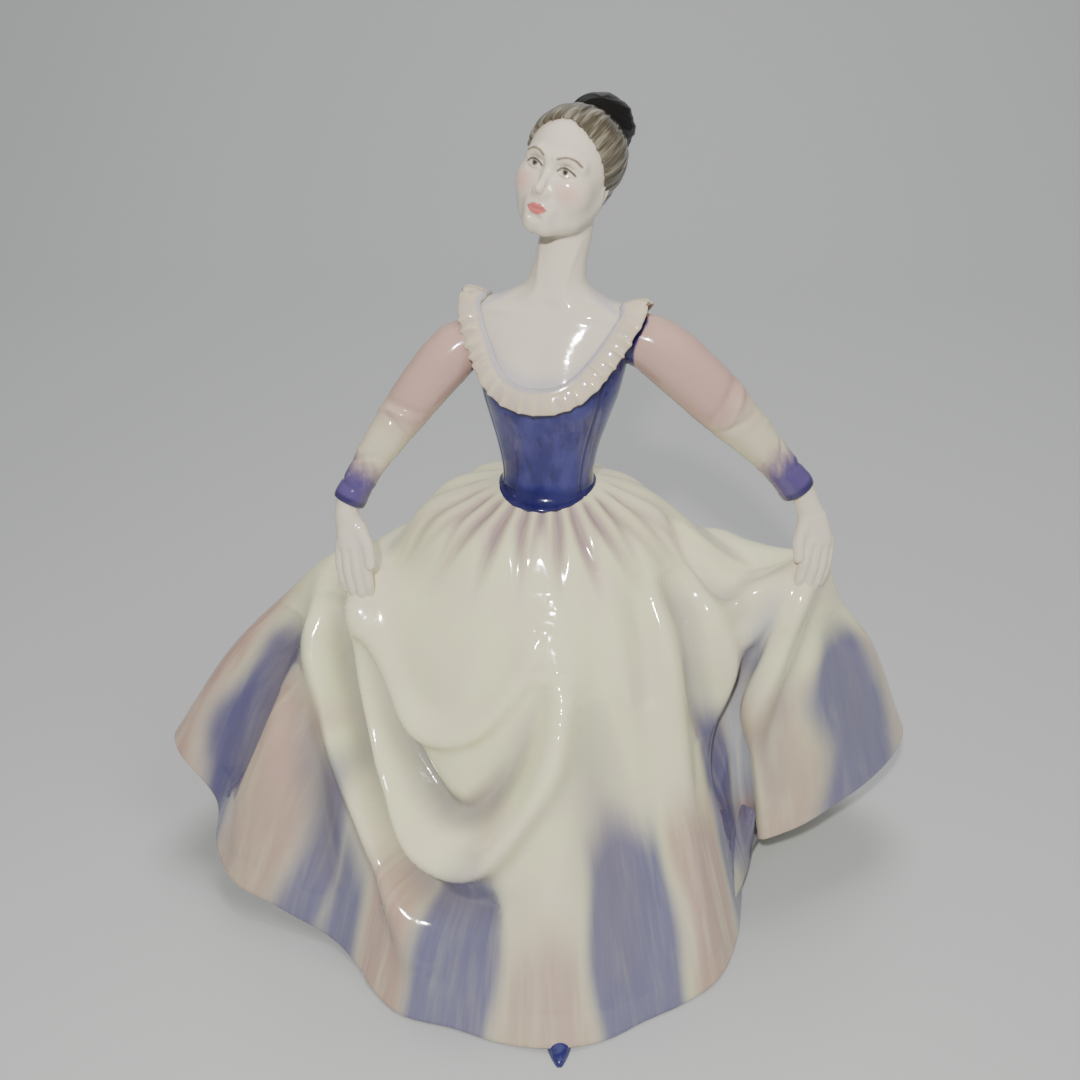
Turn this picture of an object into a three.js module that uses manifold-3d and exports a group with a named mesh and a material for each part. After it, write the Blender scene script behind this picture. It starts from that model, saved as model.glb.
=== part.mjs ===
// Slip-cast porcelain figurine of a lady who lifts the sides of her gathered skirt.
// Millimetres, +Z up, the lady faces -Y. The origin is on the floor, under the middle of the base plate.
// Every mesh is one casting, as it is before the castings are luted together, glazed and painted.
import * as THREE from "three";
import { mergeVertices } from "three/addons/utils/BufferGeometryUtils.js";
import Module from "manifold-3d";

const wasm = await Module();
wasm.setup();

// ---------------------------------------------------------------- driving dimensions
const JOINT = 0.3; // joint between two castings
const WAIST = { z: 114.5, halfWidth: 11.2, halfDepth: 9.4 };
const WALL = 2.4; // cast wall at the hem
const FOOT = { halfWidth: 56, halfDepth: 60, ringWidth: 5, height: 5 };
const PLATE = { thickness: 2.4, ventRadius: 4.5, ventX: 16, ventY: 9 };
const TORSO_YAW = -16; // degrees: the chest turns to the lady's right
const HEAD = { x: 4.6, y: -0.5, z: 186.6, height: 25, pitch: -14, roll: 12, yaw: -28 };

const LOOK = {
  porcelain: { color: 0xece8dc, roughness: 0.1 },
  skirt: { color: 0xe4e0bb, roughness: 0.12 },
  bodice: { color: 0x2e2c8a, roughness: 0.14 },
  frill: { color: 0xece4cc, roughness: 0.16 },
  sleeve: { color: 0xdcc2b4, roughness: 0.14 },
  hair: { color: 0x8d7d66, roughness: 0.2 },
  bun: { color: 0x2b2623, roughness: 0.16 },
  shoe: { color: 0x2f3490, roughness: 0.14 },
  biscuit: { color: 0xdcd8cd, roughness: 0.7 },
};

// ---------------------------------------------------------------- helpers
const radians = (degrees) => (degrees * Math.PI) / 180;
const vector = (x, y, z) => new THREE.Vector3(x, y, z);
const mix = (a, b, t) => a + (b - a) * t;
const wrapIndex = (i, n) => ((i % n) + n) % n;
const wrap = (degrees) => wrapIndex(degrees, 360);
const range = (n) => Array.from({ length: n }, (_, i) => i);

// Azimuth is measured from the front (-Y) towards +X.
const polar = (azimuth, radius, z) =>
  vector(radius * Math.sin(radians(azimuth)), -radius * Math.cos(radians(azimuth)), z);

// Smooth values at `key` between rows [key, ...values]. Closed rows go once round in 360 degrees,
// and their second column is an azimuth, which also gains 360 in a lap.
function through(rows, key, closed = false) {
  const n = rows.length;
  const row = (i) => {
    if (!closed) return rows[Math.min(n - 1, Math.max(0, i))];
    const lap = 360 * Math.floor(i / n);
    const [at, azimuth, ...rest] = rows[wrapIndex(i, n)];
    return [at + lap, azimuth + lap, ...rest];
  };
  let i = closed ? -1 : 0;
  while (i < (closed ? n - 1 : n - 2) && key >= row(i + 1)[0]) i++;
  const [a, b, c, d] = [row(i - 1), row(i), row(i + 1), row(i + 2)];
  const span = c[0] - b[0];
  const t = Math.min(1, Math.max(0, (key - b[0]) / span));
  return b.slice(1).map((from, j) => {
    const to = c[j + 1];
    const leave = ((to - a[j + 1]) / (c[0] - a[0])) * span;
    const arrive = ((d[j + 1] - from) / (d[0] - b[0])) * span;
    return (
      from +
      t * leave +
      t * t * (3 * (to - from) - 2 * leave - arrive) +
      t * t * t * (leave + arrive - 2 * (to - from))
    );
  });
}

// A closed surface over rings of points: the rings close on themselves, and the first and last ring
// either join each other (a torus) or each end in a fan round its own middle (a ball).
function skin(rings, torus = false) {
  const [n, m] = [rings.length, rings[0].length];
  const points = rings.flat();
  const faces = [];
  const at = (i, j) => (i % n) * m + (j % m);
  const point = (i, j) => {
    const row = torus ? (i + n) % n : THREE.MathUtils.clamp(i, 0, n - 1);
    return rings[row][(j + m) % m];
  };
  // How much the surface bends along a diagonal: near zero along a ridge or a valley.
  const bend = (i, j, turn) => {
    const ends = point(i - 1, j - turn).clone().add(point(i + 2, j + 2 * turn));
    return ends.sub(point(i, j)).sub(point(i + 1, j + turn)).lengthSq();
  };
  for (const i of range(torus ? n : n - 1)) {
    for (const j of range(m)) {
      const [a, b, c, d] = [at(i, j), at(i, j + 1), at(i + 1, j + 1), at(i + 1, j)];
      if (bend(i, j, 1) <= bend(i, j + 1, -1)) faces.push(a, b, c, a, c, d);
      else faces.push(a, b, d, b, c, d);
    }
  }
  if (!torus) {
    for (const [i, first, second] of [[0, 1, 0], [n - 1, 0, 1]]) {
      const middle = points.length;
      points.push(rings[i].reduce((sum, p) => sum.add(p), vector(0, 0, 0)).divideScalar(m));
      for (const j of range(m)) faces.push(middle, at(i, j + first), at(i, j + second));
    }
  }
  const surface = new THREE.BufferGeometry().setFromPoints(points);
  surface.setIndex(faces);
  return surface;
}

// A three.js geometry as a solid, with its faces turned outward.
function toSolid(geometry) {
  const bare = geometry.clone();
  for (const name of Object.keys(bare.attributes)) {
    if (name !== "position") bare.deleteAttribute(name);
  }
  const merged = mergeVertices(bare, 1e-4);
  const vertProperties = new Float32Array(merged.attributes.position.array);
  const triVerts = new Uint32Array(merged.index.array);
  const build = () => new wasm.Manifold(new wasm.Mesh({ numProp: 3, vertProperties, triVerts }));
  const solid = build();
  if (solid.volume() > 0) return solid;
  for (let i = 0; i < triVerts.length; i += 3) triVerts.subarray(i, i + 2).reverse();
  return build();
}

// The largest body of a solid as a geometry. `detail` is the size of the slivers that it drops.
function toGeometry(solid, detail = 0.05) {
  const bodies = solid.simplify(detail).decompose();
  const [body] = bodies.sort((a, b) => b.volume() - a.volume());
  const { numProp, numVert, vertProperties, triVerts } = body.getMesh();
  const corners = new Float32Array(3 * numVert);
  for (const i of range(numVert)) corners.set(vertProperties.subarray(i * numProp, i * numProp + 3), 3 * i);
  const geometry = new THREE.BufferGeometry();
  geometry.setAttribute("position", new THREE.BufferAttribute(corners, 3));
  geometry.setIndex(new THREE.BufferAttribute(triVerts, 1));
  return geometry;
}

const figure = new THREE.Group();

function add(name, look, solid, detail) {
  const mesh = new THREE.Mesh(
    toGeometry(solid, detail),
    new THREE.MeshStandardMaterial({ ...LOOK[look], metalness: 0 }),
  );
  mesh.name = name;
  figure.add(mesh);
}

// ---------------------------------------------------------------- skirt surface
// Rings of the cloth. A row is [key, azimuth, radius, height]. A key names one line down the cloth, so
// that the same key in two rings lies on one line of the weave, wherever a fold carries it.
const HEM = [
  [0, 1, 74, 1.6], [11, 11, 72.5, 0.8], [20, 20, 70, 0.8], [30, 29, 69.5, 0.8],
  [38, 38, 69, 1], [48, 48, 65.5, 1.2], [58, 60, 60.5, 2], [66, 71, 57.5, 4],
  [72, 77, 57.5, 8], [77, 73, 60, 14], [81, 68, 62.5, 19], [86, 70, 70, 23],
  [91, 76, 79, 26.5], [97, 83, 91, 31], [103, 89.5, 99.5, 35], [110, 96, 101, 35],
  [120, 105, 92, 29], [128, 115, 85, 22], [137, 127, 88, 13], [148, 140, 78, 6],
  [158, 153, 80, 2.5], [168, 165, 71, 1], [178, 176, 75.5, 0.8], [188, 187, 70, 0.8],
  [198, 198, 77, 1.5], [208, 209, 72, 3.5], [218, 220, 84, 7], [228, 231, 80, 13],
  [238, 242, 95, 20], [247, 250, 100, 27], [255, 258, 96, 30], [264, 267, 104.5, 35],
  [270, 272, 103, 33], [276, 276, 93, 21], [283, 281.5, 93, 12.5], [290, 289, 89, 9],
  [297, 296, 80, 6.5], [306, 306, 71, 3], [314, 315, 69.5, 1.5], [322, 321.7, 71.6, 1],
  [331, 330.5, 73.5, 0.8], [341, 341, 71.8, 0.8], [350, 350.5, 72.8, 0.8],
];
const SHIN = [
  [0, 0, 57, 36], [45, 45, 54, 36], [62, 63, 51, 40], [81, 72, 61, 50], [103, 88, 83, 65],
  [125, 112, 72, 52], [150, 144, 62, 40], [180, 180, 58, 36], [212, 215, 62, 40],
  [240, 243, 76, 50], [267, 268, 83, 62], [285, 282, 73, 54], [300, 297, 62, 46],
  [320, 320, 55, 38],
];
const FALL = [
  [0, 0, 45, 60], [40, 38, 45, 61], [65, 63, 50, 66], [81, 74, 61, 75], [103, 87, 74, 81],
  [122, 103, 68, 74], [146, 136, 52, 64], [180, 180, 45, 60], [218, 224, 52, 64],
  [243, 249, 62, 72], [266, 268, 66.5, 81], [281, 281, 61, 75], [296, 292, 53, 68],
  [322, 322, 45, 61],
];
const GRIP = [
  [0, 0, 36, 77], [40, 38, 39, 78], [65, 62, 47, 84], [81, 76, 60, 94], [103, 86, 67, 95.5],
  [120, 98, 62, 90], [140, 128, 46, 82], [180, 180, 37, 78], [220, 228, 45, 82],
  [245, 256, 52, 88], [264, 268, 54, 93], [278, 279.5, 51, 93], [292, 287, 47, 89],
  [310, 306, 41, 82], [335, 334, 37, 78],
];
const SAG = [
  [0, 0, 26, 97], [45, 45, 31, 94], [90, 84, 48, 91], [103, 90, 50, 91], [140, 125, 36, 95],
  [180, 180, 28, 98], [225, 230, 35, 95], [265, 268, 41, 93.5], [300, 296, 33, 95],
  [330, 330, 28, 97],
];
const HIP = [
  [0, 0, 18, 109], [60, 58, 23, 108], [95, 90, 27.5, 107.5], [140, 135, 25, 109],
  [180, 180, 21, 110.5], [225, 225, 26, 109.5], [265, 268, 30, 107], [310, 308, 22, 108.5],
];
// [share of the way from the waist to the hem, ring, share of the hem's folds that the ring shows]
const RINGS = [
  [0.12, HIP, 0],
  [0.3, SAG, 0.05],
  [0.46, GRIP, 0.15],
  [0.58, FALL, 0.3],
  [0.77, SHIN, 0.6],
  [1, HEM, 1],
];
const FOLD_SPACING = 15; // degrees over which the hem is averaged to find where its folds are

// Folds that hang from the hands and the waist: the crest's line, its height and its half width.
const FOLDS = [
  {
    // the thick rope of cloth that sweeps from the right hand across the front
    crest: [
      [-49, -13, 90], [-47, -20, 79], [-45, -25, 69], [-41, -31, 60], [-36, -37, 52],
      [-30, -44, 44.5], [-23, -49, 40.5], [-16, -51, 42], [-9, -49, 51], [-3, -45, 61],
      [0, -40, 71], [1, -35, 81],
    ],
    height: 5.4,
    halfWidth: 5,
  },
  {
    // the smaller roll above it
    crest: [
      [-47, -8, 95], [-44, -17, 86], [-41, -23, 78], [-37, -28, 70], [-32, -32, 65],
      [-26, -35, 63.5], [-19, -37, 66], [-13, -37, 72], [-7, -34, 80], [-3, -29, 89],
    ],
    height: 2.6,
    halfWidth: 4,
  },
  {
    // the hollow under the rope
    crest: [[-51, -11, 88], [-50, -18, 72], [-46, -27, 57], [-40, -36, 45], [-34, -43, 37], [-28, -49, 33]],
    height: -3,
    halfWidth: 4.5,
  },
  {
    // the ridge from the right hand to the hem
    crest: [
      [-56, -6, 92], [-58, -13, 74], [-54, -21, 60], [-49, -29, 47], [-43, -38, 35],
      [-37, -49, 24], [-31, -60, 11],
    ],
    height: 4.2,
    halfWidth: 5.5,
  },
  {
    // the long ridge down the middle
    crest: [[3, -26, 97], [2, -37, 76], [0, -49, 53], [0, -60, 32], [1, -71, 9]],
    height: 2.4,
    halfWidth: 6,
  },
  {
    // the ridge from the left hip to the hem
    crest: [
      [21, -16, 102], [25, -24, 89], [28, -31, 75], [31, -37, 58], [35, -44, 42], [40, -51, 24],
      [44, -56, 8],
    ],
    height: 2.4,
    halfWidth: 5.5,
  },
  {
    // the rolled edge of the fan that falls from the left hand
    crest: [
      [65, -9, 97], [60, -16, 84], [56, -19, 70], [52, -22, 58], [48, -25, 46], [47, -27, 36],
      [49, -27, 26], [55, -25, 18],
    ],
    height: 4,
    halfWidth: 4.5,
  },
  {
    // the hollow behind that edge
    crest: [[55, -15, 82], [49, -16, 66], [44, -18, 54], [41, -20, 43], [41, -23, 32], [44, -24, 20]],
    height: -2.6,
    halfWidth: 4.5,
  },
];
const FOLD_STEPS = 40;
for (const fold of FOLDS) {
  const line = new THREE.CatmullRomCurve3(fold.crest.map((p) => vector(...p)));
  fold.points = line.getSpacedPoints(FOLD_STEPS);
}

// How far the folds lift the cloth at a point. Each one fades in and out along its own length.
function foldHeight(point) {
  return FOLDS.reduce((sum, { points, height, halfWidth }) => {
    const gaps = points.map((p) => p.distanceTo(point));
    const nearest = gaps.indexOf(Math.min(...gaps));
    const fade = Math.sqrt(Math.sin((Math.PI * (nearest + 1)) / (FOLD_STEPS + 2)));
    return sum + height * fade * Math.exp(-((gaps[nearest] / halfWidth) ** 2));
  }, 0);
}

// The hem's azimuth and radius averaged over its folds.
function plainHem(key) {
  const sums = [0, 0, 0];
  for (let step = -2; step <= 2; step += 0.25) {
    const weight = Math.exp(-step * step);
    const near = wrap(key + step * FOLD_SPACING);
    const [azimuth, radius] = through(HEM, near, true);
    [weight, weight * (azimuth - near), weight * radius].forEach((value, i) => (sums[i] += value));
  }
  return { azimuth: key + sums[1] / sums[0], radius: sums[2] / sums[0] };
}

// Each key's plain hem is worked out once.
const plainHems = new Map();
function plainHemOf(key) {
  if (!plainHems.has(key)) plainHems.set(key, plainHem(key));
  return plainHems.get(key);
}

function clothPoint(key, share) {
  const plain = plainHemOf(key);
  const [azimuthInLap, hemRadius] = through(HEM, wrap(key), true);
  const hemAzimuth = azimuthInLap + 360 * Math.floor(key / 360);
  const waist = [
    0,
    WAIST.halfWidth * Math.sin(radians(key)),
    -WAIST.halfDepth * Math.cos(radians(key)),
    WAIST.z,
  ];
  const rows = RINGS.map(([at, ring, folds]) => {
    const [azimuth, radius, z] = through(ring, wrap(key), true);
    if (ring === HEM) return [at, ...polar(azimuth, radius, z)];
    const turn = folds * (hemAzimuth - plain.azimuth);
    return [at, ...polar(azimuth + turn, radius + folds * (hemRadius - plain.radius), z)];
  });
  return vector(...through([waist, ...rows], share));
}

function clothNormal(key, share) {
  const [across, along] = [0.8, 0.006];
  const sideways = clothPoint(key + across, share).sub(clothPoint(key - across, share));
  const down = clothPoint(key, Math.min(1, share + along)).sub(clothPoint(key, Math.max(0, share - along)));
  return down.cross(sideways).normalize();
}

function skirtPoint(key, share) {
  const point = clothPoint(key, share);
  return point.addScaledVector(clothNormal(key, share), foldHeight(point));
}

// ---------------------------------------------------------------- skirt and its base plate
const SHARE_STEPS = 20;
const SHARES = range(SHARE_STEPS + 1).map((i) => i / SHARE_STEPS);
const KEYS_PER_ROW = 3; // lines of the cloth for each row of the hem's table
const UNDERCUT = { share: 0.88, lipShare: 0.97, lipZ: 0.6, flange: 1.5 };
// The hollow inside: [share of the foot's outline, height]
const CAVITY = [
  [0.92, 6], [0.87, 20], [0.8, 38], [0.68, 58], [0.52, 77], [0.36, 94], [0.2, 106], [0.11, WAIST.z],
];

const footPoint = (azimuth, z, inset = 0) =>
  vector(
    (FOOT.halfWidth - inset) * Math.sin(radians(azimuth)),
    -(FOOT.halfDepth - inset) * Math.cos(radians(azimuth)),
    z,
  );

// One closed section: down the outside, round the hem, in to the foot ring and up the hollow.
function skirtSection(key) {
  const { azimuth } = plainHemOf(key);
  const outside = SHARES.map((share) => skirtPoint(key, share));
  const lip = skirtPoint(key, 1).addScaledVector(clothNormal(key, UNDERCUT.lipShare), -WALL);
  const lining = skirtPoint(key, UNDERCUT.share).addScaledVector(clothNormal(key, UNDERCUT.share), -WALL);
  lip.z = Math.max(lip.z, UNDERCUT.lipZ);
  return [
    ...outside,
    lip,
    lining,
    footPoint(azimuth, FOOT.height, -UNDERCUT.flange),
    footPoint(azimuth, 0),
    footPoint(azimuth, 0, FOOT.ringWidth),
    ...CAVITY.map(([share, z]) => footPoint(azimuth, z).multiply(vector(share, share, 1))),
  ];
}

const skirtKeys = HEM.flatMap(([key], i) => {
  const next = i + 1 < HEM.length ? HEM[i + 1][0] : 360;
  return range(KEYS_PER_ROW).map((step) => mix(key, next, step / KEYS_PER_ROW));
});
let skirt = toSolid(skin(skirtKeys.map(skirtSection), true));

function basePlate() {
  const { thickness, ventRadius, ventX, ventY } = PLATE;
  const inset = FOOT.ringWidth + JOINT;
  const outline = new THREE.Shape();
  outline.absellipse(0, 0, FOOT.halfWidth - inset, FOOT.halfDepth - inset, 0, 2 * Math.PI);
  outline.holes.push(new THREE.Path().absellipse(ventX, ventY, ventRadius, ventRadius, 0, 2 * Math.PI));
  const options = { depth: thickness, bevelEnabled: false, curveSegments: 36 };
  return toSolid(new THREE.ExtrudeGeometry(outline, options));
}

// ---------------------------------------------------------------- torso
// [height, middle x, middle y, half width, depth in front, depth behind], from the waist to the jaw
const TORSO = [
  [113, 0, -0.6, 11.4, 11.2, 8.8], [118, 0, -0.8, 11.2, 10.2, 8.6], [125, 0, -1, 12.4, 11, 8.8],
  [132, 0.2, -1.2, 14.4, 12.8, 9], [138, 0.4, -1.4, 16.2, 14, 9.2], [143, 0.6, -1.4, 17.2, 13.4, 9.4],
  [149, 0.8, -1, 18.4, 11, 9.4], [154, 1, -0.8, 19.8, 8.8, 9], [157.6, 1.2, -0.6, 19, 7.2, 8],
  [160.2, 1.4, -0.4, 12.4, 6.6, 7.2], [163, 1.8, -0.2, 7.4, 6, 6.4], [167, 2.4, 0, 6.1, 5.8, 6],
  [171, 3.2, 0.2, 5.9, 5.8, 6], [175, 4, 0.4, 5.9, 5.8, 6], [179, 4.6, 0.6, 5.8, 5.6, 5.8],
];
const WAIST_POINT = 3.4; // how far the front of the bodice dips to its point
const TORSO_SIDES = 40;
const TORSO_LEVELS = [
  113, 117, 122, 127, 132, 137, 142, 147, 152, 155, 157.6, 159, 160.5, 162, 164, 168, 173, 178,
];

function torsoPoint(angle, z, offset = 0) {
  const [x, y, width, front, back] = through(TORSO, z);
  const local = vector(
    (width + offset) * Math.sin(radians(angle)),
    -((Math.cos(radians(angle)) > 0 ? front : back) + offset) * Math.cos(radians(angle)),
    0,
  );
  return local.applyAxisAngle(vector(0, 0, 1), radians(TORSO_YAW)).add(vector(x, y, z));
}

function torsoNormal(angle, z) {
  const round = torsoPoint(angle + 2, z).sub(torsoPoint(angle - 2, z));
  const up = torsoPoint(angle, z + 0.4).sub(torsoPoint(angle, z - 0.4));
  return round.cross(up).normalize();
}

function torso(offset = 0) {
  const [bottom, top] = [TORSO_LEVELS[0], TORSO_LEVELS.at(-1)];
  const rings = TORSO_LEVELS.map((z) =>
    range(TORSO_SIDES).map((i) => {
      const angle = (360 * i) / TORSO_SIDES;
      const point = torsoPoint(angle, z, offset);
      const dip = WAIST_POINT * Math.max(0, Math.cos(radians(angle))) ** 3;
      if (z === bottom) point.z -= offset + dip;
      if (z === top) point.z += 2 * offset;
      return point;
    }),
  );
  return toSolid(skin(rings));
}

// The neckline on the torso's surface, as [angle, height] on the left side. The right side mirrors it:
// a wide scoop in front and a shallow one behind.
const HALF_NECKLINE = [
  [0, 141.5], [18, 142.3], [34, 145], [46, 149.5], [57, 155.2], [71, 158], [90, 158.4], [109, 158],
  [123, 156.4], [142, 153.4], [180, 151.5],
];
const NECKLINE = [
  ...HALF_NECKLINE,
  ...HALF_NECKLINE.slice(1, -1).reverse().map(([angle, z]) => [360 - angle, z]),
].map(([angle, z]) => [angle, angle, z]);
const NECKLINE_STEPS = 72;
const necklineAngles = range(NECKLINE_STEPS).map((i) => (360 * i) / NECKLINE_STEPS);
const necklineHeight = (angle) => through(NECKLINE, wrap(angle), true)[1];
const necklinePoint = (angle) => torsoPoint(angle, necklineHeight(angle));

// Everything above the neckline: a funnel that opens from inside the chest through the neckline, and
// then goes straight up past the head.
const FUNNEL = { x: 1, y: -1, z: 149, throat: 0.02, mouth: 1.3, top: 210 };

function aboveNeckline(drop) {
  const heart = vector(FUNNEL.x, FUNNEL.y, FUNNEL.z - drop);
  const rim = necklineAngles.map((angle) => necklinePoint(angle).sub(vector(0, 0, drop)));
  const inner = rim.map((p) => heart.clone().lerp(p, FUNNEL.throat));
  const outer = rim.map((p) => heart.clone().lerp(p, FUNNEL.mouth));
  const top = outer.map((p) => vector(p.x, p.y, FUNNEL.top));
  return toSolid(skin([inner, outer, top]));
}

// ---------------------------------------------------------------- frill round the neckline
const FRILL = {
  width: 4, // in front
  strapWidth: 4.6, // over the shoulders
  inset: 1.4, // how far the gathered edge lies inside the neckline
  thickness: 1.4,
  lift: 0.9, // how far the loose edge stands off the bodice
  crown: 0.9, // how far the middle of the strip bulges
  ripple: 3.4, // from one ripple to the next
  rippleWidth: 0.3,
  rippleHeight: 0.45,
  step: 1.4,
  endGap: 0.4, // how far each strip stops short of its end
};
const SHOULDER_TURN = 2.5; // how strongly the strips lie flat on top of the shoulders

// The neckline is cut into one stretch for each applied strip of frill, as angles round the torso.
const FRILL_STRIPS = {
  frill_front: [-40, 40],
  frill_left_strap: [40, 88],
  frill_back: [88, 272],
  frill_right_strap: [-88, -40],
};

// Angles between two others that cut the neckline into equal lengths.
function evenAngles(from, to) {
  const fine = range(2 * (to - from) + 1).map((i) => from + i / 2);
  const lengths = [0];
  for (const i of range(fine.length - 1))
    lengths.push(lengths[i] + necklinePoint(fine[i]).distanceTo(necklinePoint(fine[i + 1])));
  const steps = Math.round(lengths.at(-1) / FRILL.step);
  return range(steps + 1).map((k) => {
    const length = (lengths.at(-1) * k) / steps;
    const next = Math.max(1, lengths.findIndex((value) => value >= length - 1e-9));
    const share = (length - lengths[next - 1]) / (lengths[next] - lengths[next - 1]);
    return { angle: mix(fine[next - 1], fine[next], share), length };
  });
}

function frillStrip(from, to, offset = 0) {
  const places = evenAngles(from, to);
  const sections = places.map(({ angle, length }, i) => {
    const here = necklinePoint(angle);
    const along = necklinePoint(angle + 1).sub(necklinePoint(angle - 1)).normalize();
    const side = Math.sin(radians(angle)) ** 2;
    const normal = torsoNormal(angle, necklineHeight(angle)).add(vector(0, 0, SHOULDER_TURN * side ** 2));
    const down = along.clone().cross(normal).normalize();
    const face = down.clone().cross(along).normalize();
    const wave = Math.cos((2 * Math.PI * length) / FRILL.ripple);
    const width = mix(FRILL.width, FRILL.strapWidth, side);
    const edge = width + FRILL.rippleWidth * wave + offset;
    const top = FRILL.lift + FRILL.thickness + offset;
    if (i === 0) here.addScaledVector(along, FRILL.endGap - offset);
    if (i === places.length - 1) here.addScaledVector(along, offset - FRILL.endGap);
    const place = (across, height) =>
      here.clone().addScaledVector(down, across).addScaledVector(face, height);
    return [
      place(-FRILL.inset - offset, JOINT - offset),
      place(width / 2, JOINT + FRILL.crown / 2 - offset),
      place(edge, FRILL.lift - offset),
      place(edge + JOINT, top + FRILL.rippleHeight * wave),
      place(width / 2, JOINT + FRILL.crown + FRILL.thickness + offset + 0.5 * FRILL.rippleHeight * wave),
      place(-FRILL.inset - offset, JOINT + FRILL.thickness * 0.8 + offset),
    ];
  });
  return toSolid(skin(sections));
}

// ---------------------------------------------------------------- sleeves and hands
// [x, y, z, radius] from inside the shoulder down to the wrist
const ARMS = {
  right: [
    [-15.5, 2, 149.5, 5.4], [-21.6, 1.2, 146.8, 6.3], [-28.6, -0.8, 139.5, 6], [-36.2, -2.8, 130, 5.5],
    [-42.2, -5.4, 122, 4.7], [-46.4, -7.6, 115.2, 3.9], [-47.8, -8.4, 112.6, 3.9],
  ],
  left: [
    [18, -3, 151.5, 5.8], [24.4, -4, 149.4, 6.9], [32.8, -5, 142.8, 6.9], [42.8, -6, 133.4, 6.5],
    [51.6, -7, 124.8, 5.3], [57.8, -7.8, 117.8, 4.3], [59.6, -8, 115.4, 4.3],
  ],
};
// Hands: [x, y, z, half width across the palm, half thickness]
const HANDS = {
  right: [
    [-47.6, -8.2, 114, 2.9, 2.7], [-48.4, -9.4, 110, 2.8, 2.5], [-48.4, -11, 105.5, 3.9, 2.5],
    [-47.6, -12.6, 100, 4.4, 2.5], [-46.6, -13.6, 95.5, 4.1, 2.4], [-45.6, -14.6, 91, 3.3, 2],
    [-44.6, -15.2, 87, 1.6, 1.3],
  ],
  left: [
    [60.2, -8, 114.9, 3.1, 2.9], [62.4, -8.6, 111.8, 3, 2.7], [64.6, -9.6, 107.4, 3.8, 2.5],
    [65.4, -11, 102, 4.2, 2.5], [64.6, -12.4, 97.4, 4, 2.4], [62.8, -14, 93.8, 3.2, 2.1],
    [60.6, -15.2, 91.6, 1.8, 1.5],
  ],
};
const LIMB_SIDES = 20;
const LIMB_STEPS = 18;

// A ring of points round a centre, square to the way the limb runs.
function limbRing(centre, along, halfWidth, halfDepth) {
  const side = vector(0, 1, 0).cross(along).normalize();
  const front = along.clone().cross(side);
  return range(LIMB_SIDES).map((i) => {
    const angle = (2 * Math.PI * i) / LIMB_SIDES;
    return centre
      .clone()
      .addScaledVector(side, halfWidth * Math.cos(angle))
      .addScaledVector(front, halfDepth * Math.sin(angle));
  });
}

function limb(rows, offset = 0) {
  const line = new THREE.CatmullRomCurve3(rows.map(([x, y, z]) => vector(x, y, z)));
  const table = rows.map((row, i) => [i / (rows.length - 1), ...row.slice(3)]);
  const rings = range(LIMB_STEPS + 1).map((i) => {
    const t = i / LIMB_STEPS;
    const [halfWidth, halfDepth = halfWidth] = through(table, t);
    const along = line.getTangent(t);
    const centre = line.getPoint(t);
    if (i === 0) centre.addScaledVector(along, -offset);
    if (i === LIMB_STEPS) centre.addScaledVector(along, offset);
    return limbRing(centre, along, halfWidth + offset, halfDepth + offset);
  });
  return toSolid(skin(rings));
}

// ---------------------------------------------------------------- head, hair and bun
// Head in its own frame: origin in the middle, +Z to the crown, -Y to the face.
// [height, middle y, half width, depth in front, depth behind], as shares of the head's height
const SKULL = [
  [-0.5, -0.2, 0.07, 0.07, 0.08], [-0.46, -0.19, 0.16, 0.14, 0.17], [-0.38, -0.13, 0.27, 0.23, 0.28],
  [-0.25, -0.06, 0.34, 0.32, 0.36], [-0.08, 0, 0.385, 0.4, 0.44], [0.08, 0.02, 0.41, 0.415, 0.48],
  [0.24, 0.03, 0.4, 0.4, 0.47], [0.36, 0.04, 0.34, 0.33, 0.39], [0.45, 0.05, 0.21, 0.21, 0.25],
  [0.5, 0.06, 0.06, 0.06, 0.07],
];
const HEAD_SIDES = 44;
const HEAD_STEPS = 36;
const CAP_LEVEL = 0.45; // beyond this the rings close over the crown or under the chin
// Round masses of hair in the head's frame, in mm; they lean back by a tilt in degrees.
const HAIR = { halfWidth: 11, halfDepth: 12.4, halfHeight: 10.8, y: 2.4, z: 3.6, tilt: 30 };
const EAR = { halfWidth: 1, halfDepth: 1.8, halfHeight: 2.9, x: 9.6, y: 1.2, z: -1.4 };
// Soft mounds (and hollows, where the height is negative) that make the face, in mm in the head's frame:
// [distance to the side, height up, relief, half width, half height]. Those off the middle come in pairs.
const FACE = [
  [3.2, 0.1, -1, 1.9, 1.2], // eye sockets
  [3.3, 0, 0.55, 1.1, 0.7], // eyeballs under their lids
  [2.6, 2.3, 0.35, 2.4, 0.9], // brow
  [0, -1.6, 0.9, 0.9, 1.9], // bridge of the nose
  [0, -4, 1.9, 1.05, 1.4], // tip of the nose
  [1.1, -4.8, 0.5, 0.7, 0.6], // sides of the nostrils
  [0, -7.1, 0.6, 1.5, 0.5], // upper lip
  [0, -8.4, 0.6, 1.2, 0.5], // lower lip
  [0, -9.6, -0.35, 1.5, 0.5], // dip under the lip
  [0, -11, 0.7, 1.9, 1.3], // chin
  [4.8, -3, 0.4, 2, 1.8], // cheekbones
];
const BUN = { halfWidth: 7.2, halfDepth: 6.2, halfHeight: 6.4, y: 11.6, z: 11, tilt: 40 };

const headPlace = new THREE.Object3D();
headPlace.position.set(HEAD.x, HEAD.y, HEAD.z);
headPlace.rotation.set(radians(HEAD.pitch), radians(HEAD.roll), radians(HEAD.yaw), "ZYX");
headPlace.updateMatrix();
const inHead = (geometry) => toSolid(geometry.applyMatrix4(headPlace.matrix));

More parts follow.
